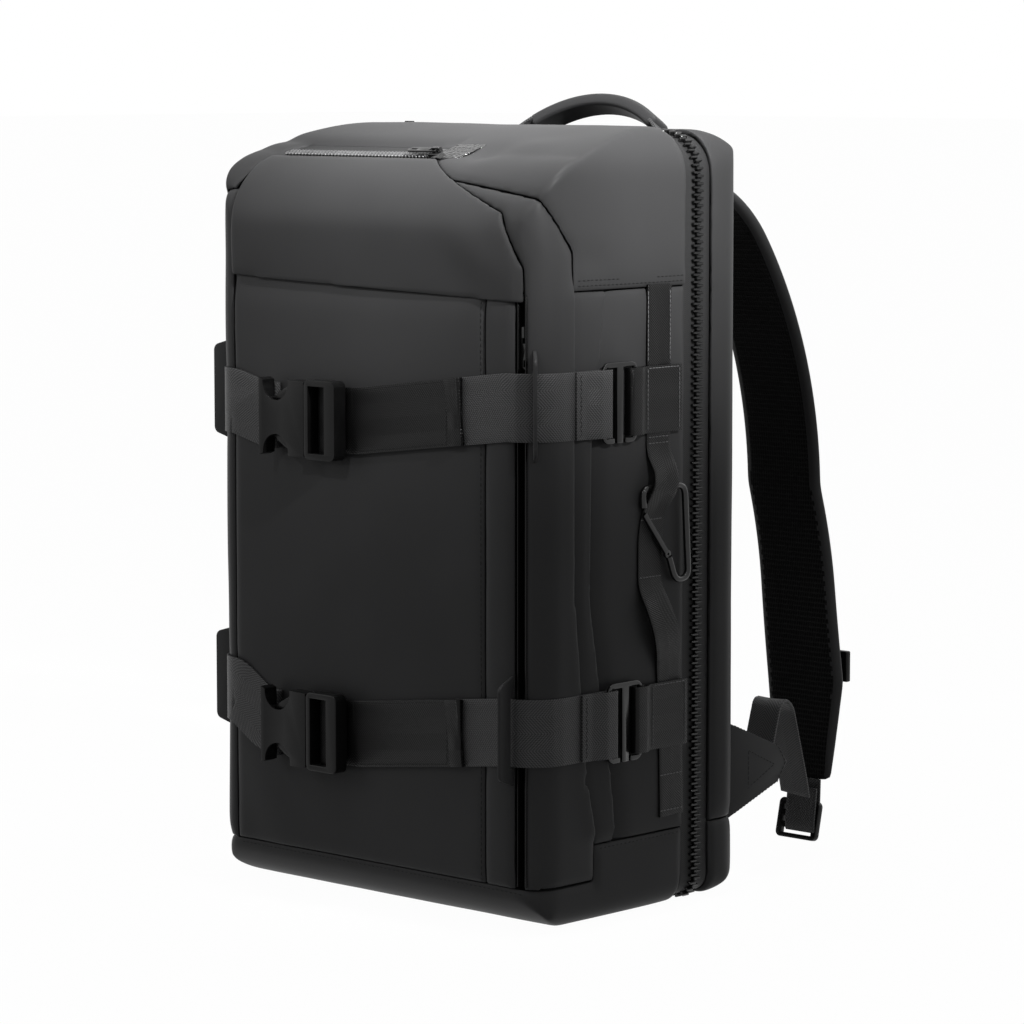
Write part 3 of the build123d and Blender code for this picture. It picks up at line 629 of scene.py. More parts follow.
def in_crown(x, y, z):
    """The top and both yokes, in one piece behind the top pocket's mouth."""
    past_folds = ~within_folds(x, y, z)
    front = (y > GARAGE_Y) | past_folds | (np.abs(x) > GUSSET_X)
    above = over_gusset(x, y, z) | (y > gusset_edge(z))
    return front_half(x, y, z) & (z > YOKE_LOW) & front & above


def on_front(x, y, z):
    """The front wall between the base and its upper edge, which the hood laps."""
    return (y < GUSSET_Y) & (z > BASE_LOW) & (z < hood_low(x) + HOOD_LAP)


def in_base(x, y, z):
    """Below the piping, which steps up behind the gussets."""
    return (z < BASE_LOW) | ((z < BASE_SIDE) & (y > gusset_edge(BASE_SIDE)))


def hood_relief(x, y, z, edge):
    """Fullness under the mouth of the top pocket, and drag lines towards the fold."""
    fullness = 2.2 * np.exp(-((x + 15) / 95) ** 2 - ((z - 452) / 30) ** 2)
    fullness += 1.0 * np.exp(-((y - LIP_Y) / 11) ** 2) * np.clip((z - 470) / 10, 0, 1)
    drag = 0.9 * np.sin((x * 0.6 + z * 0.8) / 9) * np.exp(-((x - 95) / 26) ** 2
                                                        - ((z - 440) / 24) ** 2)
    return fullness + drag


def under_hood(x, y, z, edge):
    """The front wall draws in where the hood lies over it."""
    return -1.5 * np.clip((z - 400) / 12, 0, 1)


def front_relief(x, y, z, edge):
    """A soft belly between the straps and slack at the lower corner."""
    belly = 1.6 * np.exp(-((x + 20) / 80) ** 2 - ((z - 225) / 70) ** 2)
    slack = 0.8 * np.sin((x + z * 0.5) / 14) * np.exp(-((x + 100) / 30) ** 2
                                                     - ((z - 60) / 40) ** 2)
    return belly + slack + under_hood(x, y, z, edge)


def fold_relief(rear_edge):
    """A panel that rises to its rear edge and folds over the next one there."""
    def relief(x, y, z, edge):
        rear = rear_edge(z)
        near = np.exp(-np.maximum(rear - y, 0) / 9.0) * (np.abs(x) > 140) * (z > 58)
        return 3.4 * near * np.clip((425 - z) / 14, 0, 1)
    return relief


def side_relief(x, y, z, edge):
    """Slack fabric behind the pleats, drawn in where the straps pull."""
    hollow = -3.0 * np.exp(-((y - pleat_edge(z)) / 10) ** 2)
    ripple = 1.0 * np.sin((y + 0.35 * z) / 11) * np.exp(-((z - 385) / 24) ** 2)
    return hollow + ripple


def crown_relief(x, y, z, edge):
    """A soft dent beyond the end of the top zip, and one at the foot of the yoke."""
    dent = -2.6 * np.exp(-((x - 64) / 15) ** 2 - ((y + 56) / 15) ** 2) * (z > 470)
    fold = 1.6 * np.exp(-((x - 96) / 20) ** 2 - ((y + 46) / 16) ** 2) * (z > 470)
    foot = -1.8 * np.exp(-((z - 432) / 10) ** 2 - ((y + 52) / 14) ** 2) * (np.abs(x) > 120)
    lip = -1.6 * np.exp(-((y - GARAGE_Y) / 7) ** 2) * (x < 20) * (z > 470)
    return dent + fold + foot + lip


PADDED = 0.5                          # given to the padded panels as fill
sewn_panel("hood_flap", in_hood, ("hood",), fill=PADDED, crown=1.6, dip=0.2, proud=1.6, seed=2,
           extra=hood_relief)
crown = sewn_panel("crown_and_yokes", in_crown, ("yoke_left", "yoke_right"), fill=PADDED, crown=2.4,
                   seed=3, dip=1.0, proud=0.9, reach=12, extra=crown_relief)
front = sewn_panel("front_pocket",
                   lambda x, y, z: on_front(x, y, z) & (x < SEAM_X) & (x > -RECESS_X),
                   ("front_panel",), fill=PADDED, seed=5, dip=1.2, extra=front_relief)
sewn_panel("pocket_placket", lambda x, y, z: on_front(x, y, z) & (x > SEAM_X) & (x < RECESS_X),
           ("zip_placket",), fill=PADDED, crown=1.2, reach=8, dip=0.8, seed=6, extra=under_hood)
for side, word in ((1, "right"), (-1, "left")):
    edge_x = GUSSET_X if side > 0 else RECESS_X

    def in_gusset(x, y, z):
        beside_hood = (z > hood_low(x)) & ~within_folds(x, y, z) & (x * side > 60)
        upright = (z > BASE_LOW) & (z < 500) & (y < gusset_edge(z))
        return ((x * side > edge_x) | beside_hood) & upright & ~over_gusset(x, y, z)

    def in_pleat(x, y, z):
        upright = (x * side > 120) & (z > BASE_SIDE) & (z < YOKE_LOW)
        return upright & (y > gusset_edge(z)) & (y < pleat_edge(z))

    def in_side(x, y, z):
        upright = (x * side > 120) & (z > BASE_SIDE) & (z < YOKE_LOW)
        return upright & (y > pleat_edge(z)) & front_half(x, y, z)

    sewn_panel(f"corner_gusset_skin_{word}", in_gusset, (f"corner_gusset_{word}",), crown=1.6,
               reach=12, dip=0.9, seed=8 + side, extra=fold_relief(gusset_edge))
    sewn_panel(f"pleat_skin_{word}", in_pleat, (f"pleat_{word}",), crown=0.6, dip=1.2, roll=4,
               seed=11 + side, uneven=0.5, extra=fold_relief(pleat_edge))
    sewn_panel(f"side_skin_{word}", in_side, (f"side_panel_{word}",), crown=0.8, seed=14 + side,
               dip=1.2, uneven=0.5, extra=side_relief)
base_front = sewn_panel("base_skin_front",
                        lambda x, y, z: in_base(x, y, z) & front_half(x, y, z),
                        ("base_panel_front",), fill=PADDED, crown=0.8, seed=20, uneven=0.3)
sewn_panel("back_gusset_skin",
           lambda x, y, z: back_half(x, y, z) & (y < BACK_SEAM_Y) & (z > BASE_SIDE),
           ("back_gusset",), "back_half", PADDED, crown=1.6, reach=10, seed=22, dip=1.0, press=0)
sewn_panel("back_panel_skin", lambda x, y, z: (y > BACK_SEAM_Y) & (z > BASE_SIDE),
           ("back_panel",), "back_half", PADDED, crown=1.0, seed=23, press=0)
sewn_panel("base_skin_back", lambda x, y, z: back_half(x, y, z) & (z < BASE_SIDE),
           ("base_panel_back",), "back_half", PADDED, crown=0.8, seed=24, uneven=0.3, press=0)


def lining(name, keep, body):
    """The dark lining just under the outer fabric, deeper behind the front pocket's zip."""
    inner = cut_panel(form, name, keep)
    p, n = points_of(inner), eased(inner, normals_of(inner), 3)
    x, y, z = (p / MM).T
    channel = (x > RECESS_X - 1) & (x < GUSSET_X + 1) & (y < -90) & (z < HOOD_LOW)
    depth = 4.4 + 8.0 * channel
    move_points(inner, p - n * (depth * MM)[:, None])
    thicken(inner, 0.7, offset=-1)
    place(inner, body, LINING)


lining("front_lining", front_half, "front_half")
lining("back_lining", back_half, "back_half")
bpy.data.objects.remove(form)


# ---- Stitching ---------------------------------------------------------------------------------

def spaced(path, pitch):
    """Even steps along a path, with the direction of travel at each."""
    run = travelled(path)
    count = max(int(run[-1] / pitch), 1)
    at = (np.arange(count) + 0.5) * run[-1] / count

    def spots_at(distance):
        distance = np.clip(distance, 0, run[-1])
        return np.stack([np.interp(distance, run, path[:, k]) for k in range(3)], 1)

    return spots_at(at), spots_at(at + 0.2) - spots_at(at - 0.2)


STITCH_L, STITCH_W, STITCH_H = 2.9, 0.80, 0.6
STITCH_RISE = 0.02                    # middle of a stitch above the cloth
SEAM_PITCH, EDGE_PITCH, PATCH_PITCH, BAR_PITCH = 3.9, 3.4, 3.0, 2.6
BAR_SLANT = 0.6                       # each stitch of a bar leans this far, in radians


def one_stitch():
    bpy.ops.mesh.primitive_uv_sphere_add(segments=6, ring_count=5, radius=0.5)
    stitch = bpy.context.object
    with editing(stitch):
        bpy.ops.transform.rotate(value=math.pi / 2, orient_axis="Y", center_override=(0, 0, 0))
        bpy.ops.transform.resize(value=(STITCH_L * MM, STITCH_W * MM, STITCH_H * MM))
    return stitch


STITCH = one_stitch()


def repeated(name, model, frames):
    """One object made of a modelled shape's copies, each set in its own frame."""
    shape = points_of(model)
    verts = np.concatenate([shape @ np.array(f.to_3x3()).T + np.array(f.translation)
                            for f in frames])
    faces = []
    polygons = [list(face.vertices) for face in model.data.polygons]
    for n in range(len(frames)):
        faces += [[v + n * len(shape) for v in face] for face in polygons]
    mesh = bpy.data.meshes.new(name)
    mesh.from_pydata(verts.tolist(), [], faces)
    return new_object(name, mesh)


def frame_at(spot, run, up):
    run = Vector(run).normalized()
    across = Vector(up).cross(run).normalized()
    up = run.cross(across)
    return Matrix.Translation(spot) @ Matrix((run, across, up)).transposed().to_4x4()


def stitched(name, on, paths, pitch=SEAM_PITCH, body="front_half", zigzag=0.0, thread=THREAD):
    """Lockstitches along paths in millimetres, laid on the surface of a finished piece."""
    tree = BVHTree.FromObject(on, bpy.context.evaluated_depsgraph_get())
    frames = []
    for path in paths:
        spots, runs = spaced(np.array(path, float), pitch)
        for k, (spot, run) in enumerate(zip(spots, runs)):
            hit, normal, _, _ = tree.find_nearest(Vector(spot) * MM)
            if hit is None or (hit / MM - Vector(spot)).length > 9:
                continue
            slanted = Matrix.Rotation(zigzag * (1 if k % 2 else -1), 3, normal) @ Vector(run)
            frames.append(frame_at(hit + normal * STITCH_RISE * MM, slanted, normal))
    place(repeated(name, STITCH, frames), body, thread)


def sewn_bar(name, on, x, y, z):
    """A slanting row of stitches across webbing, with its middle at the given height."""
    bar = [(x, y, z - WEB_W / 2 + 2), (x, y, z + WEB_W / 2 - 2)]
    stitched(name, on, [bar], BAR_PITCH, zigzag=BAR_SLANT)


stitched("front_seam_stitching", front, [[(102, FRONT_Y, 29), (102, FRONT_Y, 409)]])
stitched("hood_stitching", crown,
         [[(-122, GARAGE_Y + 5, 504), (50, GARAGE_Y + 5, 504), (48, -66, 494)]])
stitched("yoke_stitching_right", crown,
         [[(HALF_W, -66, z), (HALF_W, 38, z)] for z in (417.5, 421)])
stitched("base_stitching", base_front, [[(-128, FRONT_Y, 25.5), (136, FRONT_Y, 25.5)],
                                        [(HALF_W, -42, 49), (HALF_W, 38, 49)]])


# ---- Main zip ----------------------------------------------------------------------------------

def zip_line(inset, start_x=-138.0):
    """The main zip's path across the top, down the right and back under the base."""
    def corner(x, z, radius, first, last):
        turn = np.radians(np.linspace(first, last, 12))
        return [(x + radius * math.cos(a), z + radius * math.sin(a)) for a in turn]
    run = [(start_x, 508.0 - inset * 0.8), (-128, TOP_Z - 0.8 - inset)]
    run += [(-112, TOP_Z - inset), (112, TOP_Z - inset)]
    run += corner(120, 486, SHOULDER_R - inset, 84, 0)
    run += corner(HALF_W - HEM_R, HEM_R, HEM_R - inset, 0, -90)
    run += [(-122, inset), (start_x, inset + 1.2)]
    return np.array([(x, ZIP_Y, z) for x, z in run])


def ribbon(name, path, side, width, thick=WEB_T, edge=0.25, across=8):
    """Flat webbing swept along a path in millimetres. side points across its width."""
    path = np.array(path, float)
    sides = np.broadcast_to(np.array(side, float), path.shape).copy()
    run = np.gradient(path, axis=0)
    sides -= run * ((sides * run).sum(1) / np.maximum((run ** 2).sum(1), 1e-9))[:, None]
    sides = unit(sides)
    length = travelled(path)
    bpy.ops.mesh.primitive_grid_add(x_subdivisions=len(path) - 1, y_subdivisions=across,
                                    size=1, calc_uvs=True)
    strip = bpy.context.object
    strip.name = name
    flat = points_of(strip)
    step = np.rint((flat[:, 0] + 0.5) * (len(path) - 1)).astype(int)
    reach = flat[:, 1] * width
    move_points(strip, (path[step] + sides[step] * reach[:, None]) * MM)
    lay_uv(strip, np.stack([length[step], reach], 1))
    thicken(strip, thick, offset=0, use_rim=True)
    break_edges(strip, edge, sharp=60)
    return strip


for half, direction in (("front", -1), ("back", 1)):
    line = zip_line(3.7)
    line[:, 1] += direction * 7.3
    place(ribbon(f"main_tape_{half}", line, ALONG_Y, 12.8, 1.0, across=4), f"{half}_half", TAPE,
          (f"main_zip_tape_{half}",))


def one_tooth(length, width, height):
    """A moulded tooth: a rounded head on a narrower shank, gripping the tape's edge."""
    tooth = block("tooth", (length, width, height), 0.55)
    p = points_of(tooth)
    p[:, 2] += height / 2 * MM
    shank = p[:, 1] < -0.1 * width * MM
    p[shank, 0] *= 0.78
    p[p[:, 2] > height * 0.6 * MM, 0] *= 0.86
    move_points(tooth, p)
    return tooth


def axes_at(seat, along, across, up):
    """A frame with its origin at a place in millimetres and its axes along three directions."""
    turn = Matrix((along, across, up)).transposed().to_4x4()
    return Matrix.Translation(Vector(seat) * MM) @ turn


TOOTH_PITCH, TOOTH_SEAT = 4.8, 1.7    # along the chain, and from its middle to a tooth's
PARKED_X, ZIP_TEETH_X = -104, -131    # front row's start beside the parked slider, and chain's end
tooth = one_tooth(2.3, 6.4, 3.2)
for half, side, shift in (("front", -1, 0.0), ("back", 1, TOOTH_PITCH / 2)):
    frames = []
    spots, runs = spaced(zip_line(3.4, ZIP_TEETH_X), TOOTH_PITCH)
    for spot, run in zip(spots + shift * unit(runs), runs):
        if half == "front" and spot[0] <= PARKED_X and spot[2] >= 250:
            continue
        run = Vector(run).normalized()
        up, across = Vector((-run.z, 0, run.x)), Vector((0, -side, 0))
        frames.append(axes_at(Vector(spot) - across * TOOTH_SEAT, up.cross(across), across, up))
    place(repeated(f"main_teeth_{half}", tooth, frames), f"{half}_half", TEETH,
          (f"main_zip_teeth_{half}",), smooth=30)
bpy.data.objects.remove(tooth)


# ---- Webbing -----------------------------------------------------------------------------------

def filleted(points, radius, steps=5):
    """A path through the given corners, each one rounded off."""
    points = [np.array(p, float) for p in points]
    path = [points[0]]
    for before, corner, after in zip(points, points[1:], points[2:]):
        into, out = before - corner, after - corner
        cut = min(radius, 0.48 * np.linalg.norm(into), 0.48 * np.linalg.norm(out))
        a = corner + into / np.linalg.norm(into) * cut
        b = corner + out / np.linalg.norm(out) * cut
        for t in np.linspace(0, 1, steps):
            path.append(a * (1 - t) ** 2 + corner * 2 * t * (1 - t) + b * t ** 2)
    path.append(points[-1])
    return np.array(path)


def divided(path, longest):
    """The same path with no step longer than the given length."""
    path = np.array(path, float)
    out = [path[0]]
    for a, b in zip(path, path[1:]):
        parts = max(int(math.ceil(np.linalg.norm(b - a) / longest)), 1)
        out += [a + (b - a) * k / parts for k in range(1, parts + 1)]
    return np.array(out)


STAND = 0.9                       # how far the straps stand off the panels' flat face
SKIM = FRONT_Y - WEB_T / 2 - STAND
CORNER_X, CORNER_Y, CORNER_R = 126.0, -81.0, 24.0         # the bag's front corners in plan
HOOK_W, HOOK_X, HOOK_T = 34.0, 152.8, 2.4
NEAR, FAR = HALF_W + WEB_T / 2 + STAND, HOOK_X + HOOK_T + 2.0
TAIL_END = 88.0
STRAP_SIDE_X = 156.0              # where stitches on the side's webbing are aimed


def turned_corner(side, z, reach):
    """Round a front corner in plan, from the side wall to the front."""
    return [(side * (CORNER_X + reach * math.cos(a)), CORNER_Y - reach * math.sin(a), z)
            for a in np.radians((0, 18, 36, 54, 72, 90))]


def strap(name, corners, bend, longest=7):
    """The compression strap's webbing through the given corners."""
    return ribbon(name, divided(filleted(corners, bend), longest), ALONG_Z, WEB_W)


for level, (bz, rz, lz, hook_y, patch_end) in LEVELS.items():
    reach = CORNER_R + WEB_T / 2 + STAND
    left = ([(-NEAR, -22, lz), (-NEAR, -60, lz)] + turned_corner(-1, lz, reach)
            + [(-98, SKIM, bz), (-83, SKIM, bz), (-80.6, SKIM - 2, bz), (-80.6, SKIM - 6, bz)])
    piece = strap(f"left_strap_{level}", left, 4, 6)
    place(piece, "front_half", WEBBING, (f"strap_left_{level}",))
    sewn_bar(f"left_strap_{level}_stitching", piece, -96, SKIM - 1, bz)

    def climb(x):
        """Height of the strap's middle on its way to the right side."""
        return bz + (rz - bz) * max(x + 10.5, 0) / (CORNER_X + 10.5)

    over = SKIM - WEB_T - 0.25
    bar_front = FRONT_Y - 8.9                     # in front of the buckle's crossbar
    tail = [(-12, SKIM, bz), (-37.9, SKIM, bz), (-37.9, bar_front, bz),
            (-26.6, bar_front, bz), (-26.6, over, bz), (-10, over, bz),
            (TAIL_END, over, climb(TAIL_END)), (TAIL_END, over - WEB_T - 0.2, climb(TAIL_END)),
            (77.5, over - WEB_T - 0.2, climb(77.5))]
    piece = strap(f"strap_tail_{level}", tail, 1.6)
    place(piece, "front_half", BLACK_WEBBING)
    edges = [[(-6, over - 1, climb(-6) + k), (76, over - 1, climb(76) + k)] for k in (-20.6, 20.6)]
    stitched(f"strap_tail_{level}_edge_stitching", piece, edges, EDGE_PITCH)
    sewn_bar(f"strap_tail_{level}_stitching", piece, 75.2, over - 1, climb(75))
    main = ([(-12, SKIM, bz), (-10.5, SKIM, bz)] + turned_corner(1, rz, reach)[::-1]
            + [(NEAR, hook_y + 6.8, rz), (FAR, hook_y + 6.8, rz), (FAR, hook_y - 4, rz),
               (NEAR + WEB_T + 0.2, hook_y - 14, rz), (NEAR + WEB_T + 0.2, hook_y - 24, rz)])
    piece = strap(f"right_strap_{level}", main, 1.8)
    place(piece, "front_half", WEBBING, (f"strap_right_{level}",))
    sewn_bar(f"right_strap_{level}_stitching", piece, STRAP_SIDE_X, hook_y - 20, rz)
    eye = hook_y + HOOK_W
    patch = [(NEAR, -0.8, rz), (NEAR, eye - 8.6, rz), (FAR + 0.5, eye - 8.6, rz),
             (FAR + 0.5, eye + 1.8, rz), (NEAR + 1.8, eye + 8, rz), (NEAR + 1.8, patch_end, rz)]
    piece = strap(f"hook_patch_{level}", patch, 1.8)
    place(piece, "front_half", BLACK_WEBBING, (f"hook_loop_{level}",))
    ends = [[(STRAP_SIDE_X, y, rz - 20), (STRAP_SIDE_X, y, rz + 20)]
            for y in (eye + 11, patch_end - 2.5)]
    upper_edge = [(STRAP_SIDE_X, y, rz + 20.5) for y in (eye + 12, patch_end - 3)]
    stitched(f"hook_patch_{level}_stitching", piece, [*ends, upper_edge], PATCH_PITCH,
             thread=LIGHT_THREAD)

SIDE_WEB = [(151.3, 13, 416), (151.4, 12.5, 385), (151.4, 12, 306), (157.6, 14, 293),
            (159.2, 12, 283), (156.5, 9, 275), (152, 7, 266), (151.6, 4, 250), (151.6, 4, 218),
            (156.5, 8, 203), (157.6, 14, 188), (155, 20, 175), (151.6, 23, 163),
            (151.4, 24.5, 140), (151.4, 26, 104), (151.4, 27, 62)]
SIDE_ROWS = ((1.6, 412, 1.6, 366), (23.4, 412, 23.4, 366), (2, 316, 22, 316), (2, 312, 22, 312),
             (-6, 262, 15, 262), (-7, 224, 15, 224), (15, 90, 37, 90), (15, 66, 38, 66))
piece = ribbon("side_webbing", divided(filleted(SIDE_WEB, 7), 4), ALONG_Y, 23.5, 1.3)
place(piece, "front_half", BLACK_WEBBING, ("daisy_chain",))
stitched("side_webbing_stitching", piece,
         [[(153, y0, z0), (153, y1, z1)] for y0, z0, y1, z1 in SIDE_ROWS], PATCH_PITCH,
         thread=LIGHT_THREAD)


# ---- Moulded and metal hardware ----------------------------------------------------------------

def softened(name, node_name, body, width, segments=2, finish=METAL, flat=True):
    """A solid's copy with its edges broken, as moulded or tumbled parts have."""
    piece = cad_copy(name, node_name)
    if flat:
        flats_joined(piece)
    break_edges(piece, width, segments, 28)
    return place(piece, body, finish, (node_name,), smooth=45)


def moulded_part(name, node_name, body, width, segments=2):
    """A softened part in black nylon."""
    return softened(name, node_name, body, width, segments, NYLON)


def wire(name, path, radius):
    """Round wire bent along a path in millimetres, closed at both ends."""
    curve = bpy.data.curves.new(name, "CURVE")
    curve.dimensions = "3D"
    spline = curve.splines.new("POLY")
    spline.points.add(len(path) - 1)
    for point, spot in zip(spline.points, path):
        point.co = (*(np.array(spot) * MM), 1)
    curve.bevel_depth = radius * MM
    curve.bevel_resolution = 3
    curve.use_fill_caps = True
    obj = new_object(name, curve)
    pick(obj)
    bpy.ops.object.convert(target="MESH")
    return bpy.context.object


SLIDER_FLOOR = 0.5115                 # the main slider is flattened down to this height, in metres
for level in LEVELS:
    moulded_part(f"buckle_socket_{level}", f"buckle_female_{level}", "front_half", 1.1, 3)
    moulded_part(f"buckle_frame_{level}", f"buckle_male_{level}", "front_half", 1.0, 3)
    for half in ("top", "bottom"):
        arm = f"buckle_arm_{half}_{level}"
        moulded_part(f"latch_{half}_{level}", arm, arm, 0.5)
    softened(f"hook_{level}", f"strap_hook_{level}", f"strap_hook_{level}", 0.8, 3, flat=False)
for name, width in (("main_zip_slider", 0.5), ("main_zip_pull", 0.5), ("top_zip_slider", 0.4),
                    ("top_zip_pull", 0.4), ("front_zip_slider", 0.3), ("front_zip_pull", 0.3)):
    piece = softened(f"{name}_finished", name, name, width)
    if name.startswith("main_zip"):                   # these lie low between the panels' edges
        spots = points_of(piece)
        spots[:, 2] = SLIDER_FLOOR + (spots[:, 2] - SLIDER_FLOOR) * 0.7
        move_points(piece, spots)
for word in ("left", "right"):
    moulded_part(f"ladder_lock_{word}_finished", f"ladder_lock_{word}", f"shoulder_strap_{word}", 0.9)
for word in ("left", "right"):
    clip = f"sternum_slider_{word}"
    moulded_part(f"{clip}_finished", clip, clip, 0.9)
softened("carabiner_gate_finished", "carabiner_gate", "carabiner_gate", 0.7)

RING_X, RING_Z = 154.3, 283.0         # the carabiner's plane and the top of its ring
ring = filleted([(RING_X, 20.5, 236), (RING_X, 27, 219.5), (RING_X, 40, 221), (RING_X, 36, RING_Z),
                 (RING_X, -6, RING_Z), (RING_X, -5.2, 270.5)], 7.5, 9)
place(wire("carabiner_wire", ring, 2.3), "carabiner", METAL, ("carabiner_body",), 60)


# ---- Guides ------------------------------------------------------------------------------------

guides = flats_joined(cad_copy("corner_tabs", "strap_guides"))
break_edges(guides, 0.5)
place(guides, "front_half", FABRIC, ("strap_guides",))


# ---- Back: padding, straps and handle ----------------------------------------------------------

def arc_chain(points, heading, steps=14):
    """Arcs through the given points in a plane, each one tangent to the arc before it."""
    out = [np.array(points[0], float)]
    heading = np.array(heading, float)
    for end in points[1:]:
        start, end = out[-1], np.array(end, float)
        chord = end - start
        side = np.array((-heading[1], heading[0]))
        radius = chord @ chord / (2 * (chord @ side))
        centre = start + side * radius
        a0 = math.atan2(*(start - centre)[::-1])
        a1 = math.atan2(*(end - centre)[::-1])
        sweep = (a1 - a0 + math.pi) % (2 * math.pi) - math.pi
        for k in range(1, steps + 1):
            a = a0 + sweep * k / steps
            out.append(centre + abs(radius) * np.array((math.cos(a), math.sin(a))))
        last = math.atan2(*(out[-1] - centre)[::-1])
        heading = np.array((-math.sin(last), math.cos(last))) * (1 if radius > 0 else -1)
    return np.array(out)


def lofted(name, rows, ring_count, ring_points):
    """A closed tube of rows x ring points, capped at both ends, with a UV map in metres."""
    bpy.ops.mesh.primitive_grid_add(x_subdivisions=rows - 1, y_subdivisions=ring_count, size=1,
                                    calc_uvs=True)
    skin = bpy.context.object
    skin.name = name
    flat = points_of(skin)
    row = np.rint((flat[:, 0] + 0.5) * (rows - 1)).astype(int)
    turn = np.rint((flat[:, 1] + 0.5) * ring_count).astype(int)
    spots, uv = ring_points(row, turn)
    move_points(skin, spots * MM)
    lay_uv(skin, uv)
    with editing(skin):
        bpy.ops.mesh.remove_doubles(threshold=0.01 * MM)
        bpy.ops.mesh.select_all(action="DESELECT")
        bpy.ops.mesh.select_mode(type="EDGE")
        bpy.ops.mesh.select_non_manifold()
        bpy.ops.mesh.edge_face_add()
        bpy.ops.mesh.select_all(action="SELECT")
        bpy.ops.mesh.normals_make_consistent(inside=False)
    return skin


PAD_T, PAD_RING = 11.0, 28            # thickness, and points round the pad
FALL = arc_chain([(105.4, 482), (192, 438), (239, 345), (247.5, 190), (226, 48)], (1, 0), 22)
# Height, and the pad's inner and outer edge there, from the bag's middle
PAD_EDGES = np.array([(40, 80, 128), (100, 68, 131), (125, 62, 132), (260, 28, 96), (500, 28, 96)])


def pad_width(z):
    """Middle and half width of the shoulder strap at a height, from the middle of the bag."""
    inner, outer = (np.interp(z, PAD_EDGES[:, 0], PAD_EDGES[:, k]) for k in (1, 2))
    return (inner + outer) / 2, (outer - inner) / 2


def shoulder_pad(word, side):
    """A padded strap that is fabric outside and air mesh towards the wearer."""
    path = FALL[:-1]
    run = unit(np.gradient(path, axis=0))
    normal = np.stack([-run[:, 1], run[:, 0]], 1)
    length = travelled(path)

    def section(row, turn):
        middle, half = pad_width(path[row, 1])
        half = half - 1.5
        a = 2 * math.pi * turn / PAD_RING
        reach = np.sign(np.cos(a)) * np.abs(np.cos(a)) ** 0.42
        rise = np.sign(np.sin(a)) * np.abs(np.sin(a)) ** 0.75
        end = np.minimum(row, len(path) - 1 - row)
        thin = np.clip(0.55 + end / 8, 0.55, 1)
        quilt = 1 - 0.10 * np.exp(-(reach / 0.16) ** 2) * (rise < 0)
        out = rise * (PAD_T / 2 - 0.3) * thin * quilt
        x = side * (middle + half * reach)
        y = path[row, 0] + normal[row, 0] * out
        z = path[row, 1] + normal[row, 1] * out
        spots = np.stack([x, y, z], 1)
        return spots, np.stack([length[row], reach * half], 1)

    pad = lofted(f"shoulder_strap_{word}_pad", len(path), PAD_RING, section)
    subdivide(pad)
    place(pad, f"shoulder_strap_{word}", FABRIC, (f"shoulder_pad_{word}",), 60)
    pad.data.materials.append(MESH)
    centres = centres_of(pad)
    gap = centres[:, None, 1:] - path[None]
    nearest = (gap ** 2).sum(2).argmin(1)
    inside = (gap[np.arange(len(gap)), nearest] * normal[nearest]).sum(1) < -1.2
    middle, half = pad_width(path[nearest, 1])
    off = np.abs(centres[:, 0] * side - middle) / half
    pad.data.polygons.foreach_set("material_index", (inside & (off < 0.80)).astype(int))


for word, side in (("left", -1), ("right", 1)):
    shoulder_pad(word, side)
    loop = [(side * 108, y, z) for y, z in ((224, 56), (223.5, 40), (222.2, 28), (220.6, 20),
                                            (218, 18), (217, 24), (218.6, 36), (220.0, 50))]
    piece = ribbon(f"strap_end_webbing_{word}", divided(filleted(loop, 3), 5), ALONG_X, 26, 1.3)
    place(piece, f"shoulder_strap_{word}", WEBBING)
    arch = [(side * x, y, z) for x, y, z in (
        (123.5, 146, 76), (123.5, 150, 82), (122, 164, 122), (117, 182, 116), (110.5, 206, 60),
        (109, 211, 46))]
    piece = ribbon(f"anchor_webbing_{word}", divided(filleted(arch, 10), 4), ALONG_X, 25, 1.6)
    place(piece, "back_half", WEBBING)

# Anchor wings: outline and rows of stitches as depth and height, and where they lie
WING = np.array([(90, 118), (90, 44), (154, 66.5), (164, 79), (154, 91.5)])
WING_ROWS = (((122, 92), (150, 79), (122, 66), (122, 92)),
             ((108, 48), (152, 64), (162, 79), (152, 94), (108, 114)))
WING_X, WING_FACE_X = 138.2, 139.6
for word, side in (("left", -1), ("right", 1)):
    bpy.ops.mesh.primitive_circle_add(vertices=5, radius=0.05, fill_type="NGON")
    wing = bpy.context.object
    wing.name = f"anchor_wing_{word}"
    move_points(wing, np.column_stack([np.full(5, side * WING_X), WING]) * MM)
    thicken(wing, 2.6, offset=0)
    break_edges(wing, 0.6)
    place(wing, "back_half", FABRIC, ("strap_anchors",))
    rows = [[(side * WING_FACE_X, y, z) for y, z in row] for row in WING_ROWS]
    stitched(f"anchor_wing_{word}_stitching", wing, rows, EDGE_PITCH, "back_half")

HANDLE_ROOT = np.array((8.0, 103.8, 500.8))
HANDLE_HALF, HANDLE_RISE = 74.0, 35.0             # half its span, and how high it arches
LEAN = math.radians(30)                           # it leans back by this much
HANDLE_OUT = np.array((0, math.sin(LEAN), math.cos(LEAN)))
HANDLE_SIDE = np.array((0, -math.cos(LEAN), math.sin(LEAN)))


def handle_arc(first, last, steps=40):
    """Part of the handle's arch, from one share of its length to another."""
    radius = (HANDLE_HALF ** 2 + HANDLE_RISE ** 2) / (2 * HANDLE_RISE)
    open_to = math.asin(HANDLE_HALF / radius)
    turns = np.linspace(-open_to + 2 * open_to * first, -open_to + 2 * open_to * last, steps)
    return np.array([HANDLE_ROOT + np.array((radius * math.sin(a), 0, 0))
                     + HANDLE_OUT * (radius * math.cos(a) - radius + HANDLE_RISE) for a in turns])


